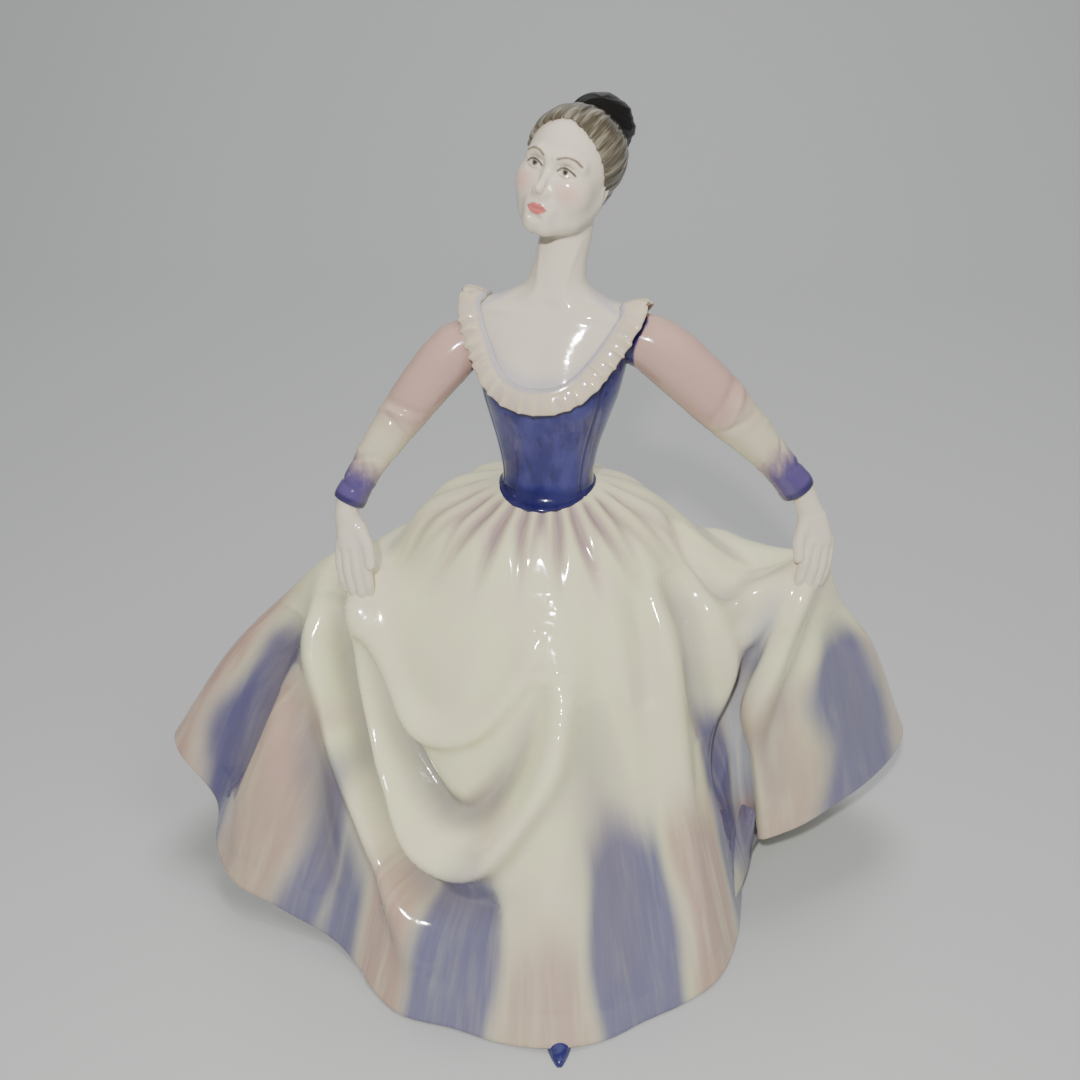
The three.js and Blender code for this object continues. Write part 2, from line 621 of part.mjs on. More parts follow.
const faceRelief = (x, z) =>
  FACE.reduce((sum, [side, up, relief, halfWidth, halfHeight]) => {
    const away = ((Math.abs(x) - side) / halfWidth) ** 2 + ((z - up) / halfHeight) ** 2;
    return sum + relief * Math.exp(-away);
  }, 0);

function head(offset = 0) {
  const rings = range(HEAD_STEPS + 1).map((step) => {
    const level = step / HEAD_STEPS - 0.5;
    const [y, width, front, back] = through(SKULL, level).map((share) => share * HEAD.height);
    const lift = Math.abs(level) > CAP_LEVEL ? Math.sign(level) * offset : 0;
    return range(HEAD_SIDES).map((i) => {
      const angle = (2 * Math.PI * i) / HEAD_SIDES;
      const facing = Math.max(0, Math.cos(angle));
      const depth = facing > 0 ? front : back;
      const x = (width + offset) * Math.sin(angle);
      const z = level * HEAD.height;
      const relief = facing * faceRelief(x, z);
      return vector(x, y - (depth + offset) * Math.cos(angle) - relief, z + lift);
    });
  });
  const ears = [-1, 1].map((side) => {
    const ear = new THREE.SphereGeometry(1, 16, 12);
    ear.scale(EAR.halfWidth + offset, EAR.halfDepth + offset, EAR.halfHeight + offset);
    ear.translate(side * EAR.x, EAR.y, EAR.z);
    return inHead(ear);
  });
  return ears.reduce((whole, ear) => whole.add(ear), inHead(skin(rings)));
}

function hairMass({ halfWidth, halfDepth, halfHeight, y, z, tilt }, offset = 0) {
  const shape = new THREE.SphereGeometry(1, 28, 18);
  shape.scale(halfWidth + offset, halfDepth + offset, halfHeight + offset);
  shape.rotateX(radians(tilt));
  shape.translate(0, y, z);
  return inHead(shape);
}

// ---------------------------------------------------------------- shoe
const SHOE = { x: 2.5, y: -70, halfWidth: 3.7, length: 8.4, height: 2.9 };
const SHOE_SOLE = 0.2; // height of the sole's underside
const CUTTER = { width: 40, height: 20 };

function shoe(offset = 0) {
  const shape = new THREE.SphereGeometry(1, 28, 16);
  shape.scale(SHOE.halfWidth + offset, SHOE.length + offset, SHOE.height + offset);
  shape.translate(SHOE.x, SHOE.y, 0);
  const sole = offset ? -1 : SHOE_SOLE; // the room for the shoe is open at the floor
  const upperHalf = new THREE.BoxGeometry(CUTTER.width, CUTTER.width, CUTTER.height);
  upperHalf.translate(SHOE.x, SHOE.y, CUTTER.height / 2 + sole);
  return toSolid(shape).intersect(toSolid(upperHalf));
}

// ---------------------------------------------------------------- assembly
const wholeTorso = torso();
const torsoSpace = torso(JOINT);
const strips = Object.entries(FRILL_STRIPS);
const frillSpace = strips
  .flatMap(([, ends]) => [frillStrip(...ends, JOINT), frillStrip(...ends)])
  .reduce((whole, strip) => whole.add(strip));

for (const side of ["right", "left"]) {
  const handSpace = limb(HANDS[side], JOINT);
  const sleeve = limb(ARMS[side]).subtract(torsoSpace).subtract(frillSpace).subtract(handSpace);
  skirt = skirt.subtract(handSpace);
  add(`${side}_sleeve`, "sleeve", sleeve);
  add(`${side}_hand`, "porcelain", limb(HANDS[side]));
}
const FINE = 0.01; // the skirt keeps smaller details than the rest
add("skirt", "skirt", skirt.subtract(torsoSpace).subtract(shoe(JOINT)), FINE);
add("base_plate", "biscuit", basePlate());
add("shoe", "shoe", shoe());
add("bodice", "bodice", wholeTorso.subtract(aboveNeckline(JOINT)).subtract(frillSpace));
add("chest_and_neck", "porcelain", wholeTorso.intersect(aboveNeckline(0)).subtract(frillSpace));
for (const [name, ends] of strips) add(name, "frill", frillStrip(...ends));
add("head", "porcelain", head().subtract(torsoSpace));
add("hair_cap", "hair", hairMass(HAIR).subtract(head(JOINT)).subtract(torsoSpace));
add("hair_bun", "bun", hairMass(BUN).subtract(hairMass(HAIR, JOINT)));

export default figure;
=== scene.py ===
"""The looks of the porcelain lady: fine surfaces, hand-painted glazes, a plain floor, light and a camera.

Shapes are worked out in millimetres in the row frame and written to Blender in metres.
"""

import math

import bpy
import numpy as np
from mathutils import Matrix, Vector


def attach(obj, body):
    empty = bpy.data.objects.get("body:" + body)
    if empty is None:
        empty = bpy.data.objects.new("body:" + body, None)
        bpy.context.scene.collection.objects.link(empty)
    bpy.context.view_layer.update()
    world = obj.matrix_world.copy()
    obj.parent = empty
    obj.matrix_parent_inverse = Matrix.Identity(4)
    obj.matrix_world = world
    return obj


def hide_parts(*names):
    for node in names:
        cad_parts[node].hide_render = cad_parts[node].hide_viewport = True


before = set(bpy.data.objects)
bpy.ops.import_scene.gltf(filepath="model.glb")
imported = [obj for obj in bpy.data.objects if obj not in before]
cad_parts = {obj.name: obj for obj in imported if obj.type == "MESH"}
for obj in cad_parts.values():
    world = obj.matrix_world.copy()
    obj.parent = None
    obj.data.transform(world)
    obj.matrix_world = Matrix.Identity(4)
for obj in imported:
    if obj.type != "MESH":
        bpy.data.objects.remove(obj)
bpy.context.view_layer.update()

MM = 0.001
rad = math.radians


# ---------------------------------------------------------------- maths helpers
def arr(*rows):
    return np.array(rows, dtype=float)


def unit(v):
    return v / np.maximum(np.linalg.norm(v, axis=-1, keepdims=True), 1e-9)


def smooth(low, high, x):
    """0 below low, 1 above high and an S curve between."""
    t = np.clip((x - low) / (high - low), 0, 1)
    return t * t * (3 - 2 * t)


def hermite(at, values, keys):
    """Smooth values at keys through rows of values at rising places."""
    at = np.asarray(at, float)
    values = np.asarray(values, float)
    i = np.clip(np.searchsorted(at, keys, side="right") - 1, 0, len(at) - 2)
    before, after = np.maximum(i - 1, 0), np.minimum(i + 2, len(at) - 1)
    span = at[i + 1] - at[i]
    t = np.clip((keys - at[i]) / span, 0, 1)

    def shaped(a):
        return a.reshape(a.shape + (1,) * (values.ndim - 1))

    step = values[i + 1] - values[i]
    leave = (values[i + 1] - values[before]) / shaped(at[i + 1] - at[before]) * shaped(span)
    arrive = (values[after] - values[i]) / shaped(at[after] - at[i]) * shaped(span)
    t = shaped(t)
    bend = 3 * step - 2 * leave - arrive
    return values[i] + t * leave + t * t * bend + t**3 * (leave + arrive - 2 * step)


def around(rows, keys):
    """hermite() for rows [key, azimuth, ...] that go once round in 360 degrees."""
    rows = np.asarray(rows, float)
    lap = np.zeros(rows.shape[1])
    lap[:2] = 360
    wide = np.vstack([rows[-3:] - lap, rows, rows[:3] + lap])
    turns = np.floor(keys / 360) * 360
    out = hermite(wide[:, 0], wide[:, 1:], keys - turns)
    out[:, 0] += turns
    return out


def polar(azimuth, radius, z):
    """Points at an azimuth from the front (-Y) towards +X."""
    a = np.radians(azimuth)
    return np.stack([radius * np.sin(a), -radius * np.cos(a), z + 0 * a], axis=-1)


def circle(count):
    """Angles in radians once round."""
    return np.linspace(0, 2 * np.pi, count, endpoint=False)


def bearings(count):
    """Angles in degrees once round, from the back to the back."""
    return np.linspace(-180, 180, count, endpoint=False)


def curve(points, count):
    """A smooth line through a few points, evenly spaced."""
    points = np.asarray(points, float)
    fine = hermite(np.arange(len(points)), points, np.linspace(0, len(points) - 1, 40 * len(points)))
    length = np.concatenate([[0], np.cumsum(np.linalg.norm(np.diff(fine[:, :3], axis=0), axis=1))])
    wanted = np.linspace(0, length[-1], count)
    return np.stack([np.interp(wanted, length, fine[:, k]) for k in range(fine.shape[1])], axis=-1)


# ---------------------------------------------------------------- mesh helpers
def grid_faces(rows, columns):
    """Quads between rows of points whose columns close on themselves."""
    i, j = np.meshgrid(np.arange(rows - 1), np.arange(columns), indexing="ij")
    k = (j + 1) % columns
    above, below = i * columns, (i + 1) * columns
    return np.stack([above + j, above + k, below + k, below + j], axis=-1).reshape(-1, 4)


def torus_faces(rows, columns):
    """Quads of a grid whose rows and columns both close on themselves."""
    return grid_faces(rows + 1, columns) % (rows * columns)


def capped(grid, turned=False):
    """Points and faces of grid[row, column] with a fan over its first and its last row."""
    rows, columns = grid.shape[:2]
    points = grid.reshape(-1, 3)
    n = len(points)
    j = np.arange(columns)
    k = (j + 1) % columns
    start = np.stack([np.full(columns, n), k, j], axis=-1)
    end = np.stack([np.full(columns, n + 1), n - columns + j, n - columns + k], axis=-1)
    faces = [grid_faces(rows, columns), start, end]
    if turned:
        faces = [part[:, ::-1] for part in faces]
    return np.vstack([points, grid[0].mean(0), grid[-1].mean(0)]), faces


def make_piece(name, points, faces, slot, material, replaced=(), **attributes):
    """A smooth mesh piece from points in mm, with one value per point for each attribute."""
    faces = [np.asarray(f) for f in (faces if isinstance(faces, list) else [faces])]
    mesh = bpy.data.meshes.new(name)
    mesh.from_pydata((np.asarray(points) * MM).tolist(), [], [f for part in faces for f in part.tolist()])
    for key, values in attributes.items():
        values = np.asarray(values, dtype=np.float32)
        kind, field = ("FLOAT", "value") if values.ndim == 1 else ("FLOAT_VECTOR", "vector")
        layer = mesh.attributes.new(key, kind, "POINT")
        layer.data.foreach_set(field, values.ravel())
    mesh.shade_smooth()
    mesh.materials.append(material)
    piece = bpy.data.objects.new(name, mesh)
    bpy.context.scene.collection.objects.link(piece)
    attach(piece, "root")
    if replaced:
        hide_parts(*replaced)


def grid_normals(grid):
    """Unit normals of grid[row, column], whose columns close on themselves, pointing out."""
    across = np.roll(grid, -1, axis=1) - np.roll(grid, 1, axis=1)
    down = np.gradient(grid, axis=0)
    return unit(np.cross(down, across))


# ---------------------------------------------------------------- glazes
def mix_colour(tree, factor, a, b):
    """A colour mix node's output. a and b are colours or sockets, factor a number or a socket."""
    node = tree.nodes.new("ShaderNodeMix")
    node.data_type = "RGBA"
    for socket, value in ((node.inputs[0], factor), (node.inputs[6], a), (node.inputs[7], b)):
        if isinstance(value, bpy.types.NodeSocket):
            tree.links.new(value, socket)
        else:
            socket.default_value = value if isinstance(value, (int, float)) else (*value, 1)
    return node.outputs[2]


def maths(tree, operation, *values):
    node = tree.nodes.new("ShaderNodeMath")
    node.operation = operation
    for socket, value in zip(node.inputs, values):
        if isinstance(value, bpy.types.NodeSocket):
            tree.links.new(value, socket)
        else:
            socket.default_value = value
    return node.outputs[0]


def attribute(tree, name, vector=False):
    node = tree.nodes.new("ShaderNodeAttribute")
    node.attribute_name = name
    return node.outputs["Vector" if vector else "Fac"]


def noise(tree, vector, scale, detail=2.0, rough=0.5, stretch=(1, 1, 1)):
    """Noise from 0 to 1 at a vector socket, or in object space where that is None."""
    if vector is None:
        vector = tree.nodes.new("ShaderNodeTexCoord").outputs["Object"]
    if stretch != (1, 1, 1):
        mapping = tree.nodes.new("ShaderNodeMapping")
        mapping.inputs["Scale"].default_value = stretch
        tree.links.new(vector, mapping.inputs["Vector"])
        vector = mapping.outputs[0]
    node = tree.nodes.new("ShaderNodeTexNoise")
    node.inputs["Scale"].default_value = scale
    node.inputs["Detail"].default_value = detail
    node.inputs["Roughness"].default_value = rough
    tree.links.new(vector, node.inputs["Vector"])
    return node.outputs["Fac"]


def ramp(tree, value, low, high, low_out=0.0, high_out=1.0):
    node = tree.nodes.new("ShaderNodeMapRange")
    node.interpolation_type = "SMOOTHSTEP"
    tree.links.new(value, node.inputs["Value"])
    for key, number in (("From Min", low), ("From Max", high), ("To Min", low_out), ("To Max", high_out)):
        node.inputs[key].default_value = number
    return node.outputs["Result"]


def glaze(name, paint, roughness=0.09, wave=0.03, coat=0.35, sink=0.0):
    """A fired glaze. paint(tree) returns the colour socket; wave is the glaze's unevenness in mm."""
    material = bpy.data.materials.new(name)
    material.use_nodes = True
    tree = material.node_tree
    shader = tree.nodes["Principled BSDF"]
    tree.links.new(paint(tree), shader.inputs["Base Color"])
    spots = noise(tree, None, 900, detail=3)
    uneven = ramp(tree, spots, 0.35, 0.75, roughness * 0.85, roughness * 1.4)
    tree.links.new(uneven, shader.inputs["Roughness"])
    shader.inputs["Coat Weight"].default_value = coat
    shader.inputs["Coat Roughness"].default_value = 0.03
    shader.inputs["Specular IOR Level"].default_value = 0.5
    shader.inputs["Subsurface Weight"].default_value = sink
    shader.inputs["Subsurface Radius"].default_value = (1.0, 0.7, 0.5)
    shader.inputs["Subsurface Scale"].default_value = 0.0015
    bump = tree.nodes.new("ShaderNodeBump")
    bump.inputs["Distance"].default_value = wave * MM
    swell = maths(tree, "ADD", noise(tree, None, 110, detail=2), noise(tree, None, 450, detail=1))
    tree.links.new(swell, bump.inputs["Height"])
    tree.links.new(bump.outputs[0], shader.inputs["Normal"])
    return material


CREAM = (0.76, 0.76, 0.47)
WARM_CREAM = (0.77, 0.69, 0.49)
PINK = (0.42, 0.245, 0.215)
LILAC = (0.125, 0.122, 0.245)
DEEP_LILAC = (0.065, 0.056, 0.165)
GREY_BLUE = (0.30, 0.33, 0.50)
# painted shade laid into the skirt's fold hollows
PAINTED_SHADE = (0.22, 0.19, 0.17)
VIOLET = (0.015, 0.013, 0.115)
LIGHT_VIOLET = (0.042, 0.040, 0.18)
DARK_VIOLET = (0.008, 0.007, 0.05)
SKIN = (0.69, 0.635, 0.515)
WARM_SKIN = (0.69, 0.60, 0.48)
FRILL_CREAM = (0.63, 0.555, 0.385)
FRILL_PINK = (0.58, 0.45, 0.35)
SLEEVE_PINK = (0.49, 0.315, 0.265)
SLEEVE_CREAM = (0.60, 0.54, 0.38)
CUFF = (0.065, 0.045, 0.18)
BLUSH = (0.72, 0.30, 0.28)
BROWN = (0.13, 0.075, 0.04)
LIP = (0.55, 0.07, 0.07)
IRIS = (0.12, 0.11, 0.10)
EYE_LINE = (0.022, 0.015, 0.012)
HAIR_LIGHT = (0.31, 0.275, 0.205)
HAIR_MID = (0.095, 0.078, 0.05)
HAIR_DARK = (0.035, 0.027, 0.018)
HAIR_RIM = (0.52, 0.47, 0.40)
BUN_DARK = (0.004, 0.0035, 0.003)
BUN_BROWN = (0.018, 0.013, 0.010)
SHOE_BLUE = (0.05, 0.055, 0.16)
BISQUE = (0.72, 0.69, 0.62)
BISQUE_DARK = (0.55, 0.52, 0.45)


def brushed(tree, mask, streaks, low, high, least):
    """A painted mask's strength, thinner where the brush ran dry."""
    return maths(tree, "MULTIPLY", attribute(tree, mask), ramp(tree, streaks, low, high, least, 1.0))


def skirt_paint(tree):
    weave = attribute(tree, "weave", vector=True)
    broad = noise(tree, weave, 0.06, detail=3)
    streaks = noise(tree, weave, 0.42, detail=3, rough=0.55, stretch=(1, 1, 0.12))
    fine = noise(tree, weave, 1.3, detail=3, rough=0.6, stretch=(1, 1, 0.06))
    colour = mix_colour(tree, ramp(tree, broad, 0.38, 0.7), CREAM, WARM_CREAM)
    pink = brushed(tree, "pink", streaks, 0.25, 0.6, 0.65)
    colour = mix_colour(tree, maths(tree, "MULTIPLY", pink, 0.9), colour, PINK)
    colour = mix_colour(tree, brushed(tree, "grey_blue", streaks, 0.2, 0.7, 0.55), colour, GREY_BLUE)
    lilac = brushed(tree, "lilac", streaks, 0.2, 0.55, 0.86)
    tone = mix_colour(tree, ramp(tree, fine, 0.4, 0.75, 0.0, 0.3), LILAC, DEEP_LILAC)
    colour = mix_colour(tree, maths(tree, "MULTIPLY", lilac, 0.94), colour, tone)
    colour = mix_colour(tree, brushed(tree, "deep", streaks, 0.3, 0.65, 0.55), colour, DEEP_LILAC)
    # Painted shade darkens the hollows of the folds.
    return mix_colour(tree, maths(tree, "MULTIPLY", attribute(tree, "hollow_shade"), 0.6), colour, PAINTED_SHADE)


# ---------------------------------------------------------------- skirt: the cloth
WAIST = {"z": 114.5, "half_width": 11.2, "half_depth": 9.4}
WALL = 2.2
# The foot ring under the skirt, as [half width, half depth, height] from outside to inside.
FOOT_RINGS = ((59, 63, 8), (57.5, 61.5, 5), (56.3, 60.3, 1), (55.5, 59.5, 0), (51.2, 55.2, 0), (51, 55, 3))
# Rings of the cloth as [key, azimuth, radius, height]. One key names one line down the cloth.
HEM = arr(
    [0, 1, 74, 1.6], [11, 11, 72.5, 0.8], [20, 20, 70, 0.8], [30, 29, 69.5, 0.8], [38, 38, 69, 1],
    [48, 48, 65.5, 1.2], [58, 60, 60.5, 2], [66, 71, 57.5, 4], [72, 77, 57.5, 8], [77, 73, 60, 14],
    [81, 68, 62.5, 19], [86, 70, 70, 23], [91, 76, 79, 26.5], [97, 83, 91, 31], [103, 89.5, 99.5, 35],
    [110, 96, 101, 35], [120, 105, 92, 29], [128, 115, 85, 22], [137, 127, 88, 13], [148, 140, 78, 6],
    [158, 153, 80, 2.5], [168, 165, 71, 1], [178, 176, 75.5, 0.8], [188, 187, 70, 0.8], [198, 198, 77, 1.5],
    [208, 209, 72, 3.5], [218, 220, 84, 7], [228, 231, 80, 13], [238, 242, 95, 20], [247, 250, 100, 27],
    [255, 258, 96, 30], [264, 267, 104.5, 35], [270, 272, 103, 33], [276, 276, 93, 21],
    [283, 281.5, 93, 12.5], [290, 289, 89, 9], [297, 296, 80, 6.5], [306, 306, 71, 3],
    [314, 315, 69.5, 1.5], [322, 321.7, 71.6, 1], [331, 330.5, 73.5, 0.8], [341, 341, 71.8, 0.8],
    [350, 350.5, 72.8, 0.8],
)
SHIN = arr(
    [0, 0, 57, 36], [45, 45, 54, 36], [62, 63, 51, 40], [81, 72, 61, 50], [103, 88, 83, 65],
    [125, 112, 72, 52], [150, 144, 62, 40], [180, 180, 58, 36], [212, 215, 62, 40], [240, 243, 76, 50],
    [267, 268, 83, 62], [285, 282, 73, 54], [300, 297, 62, 46], [320, 320, 55, 38],
)
FALL = arr(
    [0, 0, 45, 60], [40, 38, 45, 61], [65, 63, 50, 66], [81, 74, 61, 75], [103, 87, 74, 81],
    [122, 103, 68, 74], [146, 136, 52, 64], [180, 180, 45, 60], [218, 224, 52, 64], [243, 249, 62, 72],
    [266, 268, 66.5, 81], [281, 281, 61, 75], [296, 292, 53, 68], [322, 322, 45, 61],
)
GRIP = arr(
    [0, 0, 36, 77], [40, 38, 39, 78], [65, 62, 47, 84], [81, 76, 60, 94], [103, 86, 67, 95.5],
    [120, 98, 62, 90], [140, 128, 46, 82], [180, 180, 37, 78], [220, 228, 45, 82], [245, 256, 52, 88],
    [264, 268, 54, 93], [278, 279.5, 51, 93], [292, 287, 47, 89], [310, 306, 41, 82], [335, 334, 37, 78],
)
SAG = arr(
    [0, 0, 26, 97], [45, 45, 31, 94], [90, 84, 48, 91], [103, 90, 50, 91], [140, 125, 36, 95],
    [180, 180, 28, 98], [225, 230, 35, 95], [265, 268, 41, 93.5], [300, 296, 33, 95], [330, 330, 28, 97],
)
HIP = arr(
    [0, 0, 18, 109], [60, 58, 23, 108], [95, 90, 27.5, 107.5], [140, 135, 25, 109], [180, 180, 21, 110.5],
    [225, 225, 26, 109.5], [265, 268, 30, 107], [310, 308, 22, 108.5],
)
# (share of the way from the waist to the hem, ring, share of the hem's folds that it shows)
RINGS = (
    (0.12, HIP, 0), (0.3, SAG, 0.05), (0.46, GRIP, 0.15), (0.58, FALL, 0.3), (0.77, SHIN, 0.6), (1, HEM, 1),
)
FOLD_SPACING = 15  # keys over which the hem's waves are smoothed out to find the plain cloth
FAN_KEY = 76  # where the cloth from the left hand folds back on to the front of the skirt
PLEAT_DEPTH = 1.1

# Folds as (crest line, height, half width, lean over the lower side).
FOLDS = (
    # the sweep of cloth held up in the right hand: hollows first, then the roll and the thick rope under it
    ([[-53, -10, 88], [-51, -18, 72], [-47, -27, 57], [-42, -36, 45], [-37, -43, 37], [-30, -52, 30],
      [-21, -57, 28], [-12, -58, 31]], -8.6, 4.6, 0),
    ([[-45, -19, 82], [-42, -25, 72], [-37, -31, 62], [-31, -38, 53], [-25, -43, 48], [-18, -45, 48],
      [-10, -43, 57], [-5, -39, 67], [-2, -34, 78]], -6, 3.4, 0),
    ([[-47, -8, 95], [-44, -17, 86], [-41, -23, 78], [-37, -28, 70], [-32, -32, 65], [-26, -35, 63.5],
      [-19, -37, 66], [-13, -37, 72], [-7, -34, 80], [-3, -29, 89]], 3.6, 3.4, 1.4),
    ([[-49, -13, 90], [-47, -20, 79], [-45, -25, 69], [-41, -31, 60], [-36, -37, 52], [-30, -44, 44.5],
      [-23, -49, 40.5], [-16, -51, 42], [-9, -49, 51], [-3, -45, 61], [0, -40, 71],
      [1, -35, 81]], 9, 5.4, 4),
    # the ridge from the hand to the hem, and the lobe beyond it
    ([[-56, -6, 92], [-58, -13, 74], [-54, -21, 60], [-49, -29, 47], [-43, -38, 35], [-37, -49, 24],
      [-31, -60, 11]], 6, 4.6, 0),
    ([[-64, -13, 62], [-62, -22, 48], [-60, -29, 34], [-57, -37, 14]], -4.6, 5.5, 0),
    ([[-63, -13, 68], [-70, -19, 51], [-79, -22, 29], [-82, -25, 15]], 3, 6, 0),
    ([[-64, -3, 78], [-71, -8, 62], [-77, -12, 47], [-86, -12, 28]], -6, 4.6, 0),
    # the middle: a long ridge down from the waist, the soft panel beside it, and the ridge after that
    ([[3, -26, 97], [3, -37, 76], [2, -49, 53], [1, -60, 32], [1, -71, 9]], 2.6, 7.5, 0),
    ([[11, -37, 74], [15, -50, 48], [18, -60, 28], [20, -68, 8]], -2.8, 8, 0),
    ([[13, -21, 101], [16, -30, 84], [19, -38, 66], [21, -44, 52]], 1.8, 3.6, 0),
    ([[20, -18, 98], [22, -27, 84], [24, -34, 70]], -1.8, 3, 0),
    ([[22, -15, 102], [26, -23, 89], [29, -31, 75], [32, -37, 58], [36, -44, 42], [40, -51, 24],
      [44, -56, 8]], 3.8, 4.6, 0),
    # between the left hip and the hand
    ([[27, -17, 97], [32, -21, 88], [34, -25, 77], [38, -27, 66], [41, -28, 57]], -4.6, 4, 0),
    ([[34, -11, 97], [41, -18, 84], [45, -22, 70], [46, -24, 58]], 3, 3.6, 0),
    ([[31, 0, 105], [37, -8, 97], [43, -15, 90], [47, -19, 82]], -3.6, 3.8, 0),
    ([[58, -13, 93], [53, -16, 86], [49, -18, 76]], 1.6, 3.4, 0),
    # the fan that falls from the left hand: the dark hollow behind it and its rolled edge
    ([[56, -14, 84], [50, -16, 68], [45, -18, 54], [42, -20, 43], [41, -23, 32],
      [43, -24, 20]], -5.5, 4, 0),
    ([[66, -9, 98], [61, -16, 85], [57, -19, 71], [53, -22, 58], [49, -25, 46], [47.5, -27, 36],
      [50, -27, 27], [56, -25, 19]], 6.8, 4, 3.8),
    ([[62, -14, 78], [60, -20, 60], [58, -23, 44], [60, -24, 30]], -2.4, 3.6, 0),
    ([[66, -12, 84], [68, -16, 64], [70, -20, 44], [72, -23, 28]], 1.8, 4, 0),
    ([[74, -8, 82], [79, -12, 64], [84, -12, 48], [88, -11, 34]], -1.6, 6, 0),
    # folds at the back and the far sides
    ([[-14, 24, 98], [-18, 42, 70], [-22, 60, 34], [-25, 72, 4]], 3.4, 6, 0),
    ([[18, 25, 98], [24, 41, 70], [32, 58, 34], [36, 72, 5]], 3.6, 6, 0),
    ([[2, 26, 98], [4, 42, 70], [6, 58, 34], [6, 68, 5]], -2.2, 7, 0),
    ([[-34, 16, 100], [-46, 26, 78], [-58, 34, 48], [-68, 40, 18]], 3, 6, 0),
    ([[40, 12, 99], [52, 20, 78], [64, 30, 50], [74, 38, 20]], 3, 6, 0),
)


def cloth(keys, shares):
    """The cloth as grid[share, key], before its folds are laid on."""
    step = np.arange(-2, 2.01, 0.25)
    weight = np.exp(-step * step) / np.exp(-step * step).sum()
    near = keys[:, None] + step[None] * FOLD_SPACING
    around_hem = around(HEM, near.ravel()).reshape(*near.shape, 3)
    plain_azimuth = keys + ((around_hem[..., 0] - near) * weight).sum(1)
    plain_radius = (around_hem[..., 1] * weight).sum(1)
    hem = around(HEM, keys)
    a = np.radians(keys)
    width, depth = WAIST["half_width"], WAIST["half_depth"]
    waist = np.stack([width * np.sin(a), -depth * np.cos(a), 0 * a + WAIST["z"]], -1)
    lines = [waist]
    for _, ring, folds in RINGS:
        row = around(ring, keys)
        if ring is not HEM:
            row[:, 0] += folds * (hem[:, 0] - plain_azimuth)
            row[:, 1] += folds * (hem[:, 1] - plain_radius)
        lines.append(polar(row[:, 0], row[:, 1], row[:, 2]))
    return hermite([0] + [at for at, _, _ in RINGS], np.stack(lines), shares), plain_azimuth


def lay_folds(grid):
    """Lifts the cloth along each fold's crest and leans it over; also says how deep its hollows are."""
    hollow = np.zeros(grid.shape[:2])
    outward = grid_normals(grid)
    for crest, height, half_width, lean in FOLDS:
        line = curve(crest, 90)
        along = unit(np.gradient(line, axis=0))
        reach = 3 * half_width
        near = np.all((grid > line.min(0) - reach) & (grid < line.max(0) + reach), axis=-1)
        points = grid[near]
        normals = outward[near]
        gaps = np.linalg.norm(points[:, None] - line[None], axis=-1)
        nearest = gaps.argmin(1)
        gap = gaps.min(1)
        fade = np.sin(np.pi * (nearest + 0.5) / len(line)) ** 0.5
        shape = fade * np.exp(-((gap / half_width) ** 2))
        side = unit(np.cross(along[nearest], normals))
        grid[near] = points + normals * (height * shape)[:, None] + side * (lean * shape)[:, None]
        hollow[near] = np.clip(hollow[near] - shape * np.clip(height, -6, 4) / 5, 0, 1)
    return grid, hollow


# Azimuths of the gathered pleats' hollows round the waist, unevenly spaced as fingers press them.
PLEATS = arr(-171, -150, -127, -106, -84, -66, -50, -35, -20, -6, 8, 23, 39, 56, 76, 97, 119, 140, 161)


def pleat_shape(keys, half_width):
    """1 in each gathered pleat's hollow round the waist and 0 between them, for rows of half widths."""
    gap = (keys[None] - PLEATS[:, None] + 180) % 360 - 180
    nearest = np.abs(gap).min(0)[None]
    return np.exp(-((nearest / half_width) ** 2))


def skirt_surface():
    count, steps = ((504, 180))
    keys = bearings(count)
    shares = np.linspace(0, 1, steps) ** 0.95
    grid, azimuth = cloth(keys, shares)
    grid, hollow = lay_folds(grid)
    normals = grid_normals(grid)
    length = 0.2 + 0.07 * np.sin(keys * 0.31)
    down = shares[:, None]
    reach = smooth(0.015, 0.085, down) * (1 - smooth(length * 0.35, length + 0.08, down))
    valley = pleat_shape(keys, 3.2 + 14 * down)
    grid += normals * (-PLEAT_DEPTH * reach * valley)[..., None]
    return keys, shares, grid, azimuth, hollow


# Painted stripes down to the hem: (key from, key to, share where it starts, strength)
LILAC_STRIPES = (
    (9, 31, 0.68, 1), (52, 68, 0.6, 1), (90, 101, 0.62, 1), (117, 131, 0.64, 1), (146, 160, 0.7, 1),
    (176, 192, 0.7, 1), (208, 222, 0.68, 1), (238, 252, 0.64, 1), (273, 283, 0.6, 1), (297, 305, 0.74, 1),
    (304, 313, 0.84, 1), (331, 349, 0.75, 1),
)
PINK_STRIPES = (
    (33, 51, 0.7, 0.9), (69, 79, 0.88, 1), (80, 90, 0.66, 0.75), (101, 116, 0.62, 0.8), (132, 145, 0.68, 0.8),
    (161, 175, 0.72, 0.8), (193, 207, 0.7, 0.8), (223, 237, 0.68, 0.8), (253, 272, 0.56, 1),
    (283, 297, 0.64, 0.9), (314, 331, 0.8, 0.95), (350, 368, 0.84, 0.75),
)
DEEP_STRIPES = ((56, 68, 0.55, 1), (273, 282, 0.55, 1))
FAN_EDGE = ((68, 79, 0.5, 1),)


def stripes(rows, keys, shares, wander, soft=2.2):
    """How much paint each point has from a set of stripes."""
    key = keys[None] + wander
    total = np.zeros((len(shares), len(keys)))
    for low, high, start, strength in rows:
        middle, half = (low + high) / 2, (high - low) / 2
        gap = np.abs((key - middle + 180) % 360 - 180)
        inside = 1 - smooth(half - soft, half + soft, gap)
        rise = smooth(start - 0.05, start + 0.07, shares[:, None] + 0.02 * np.cos(np.radians(key * 19)))
        total = np.maximum(total, strength * inside * rise)
    return total


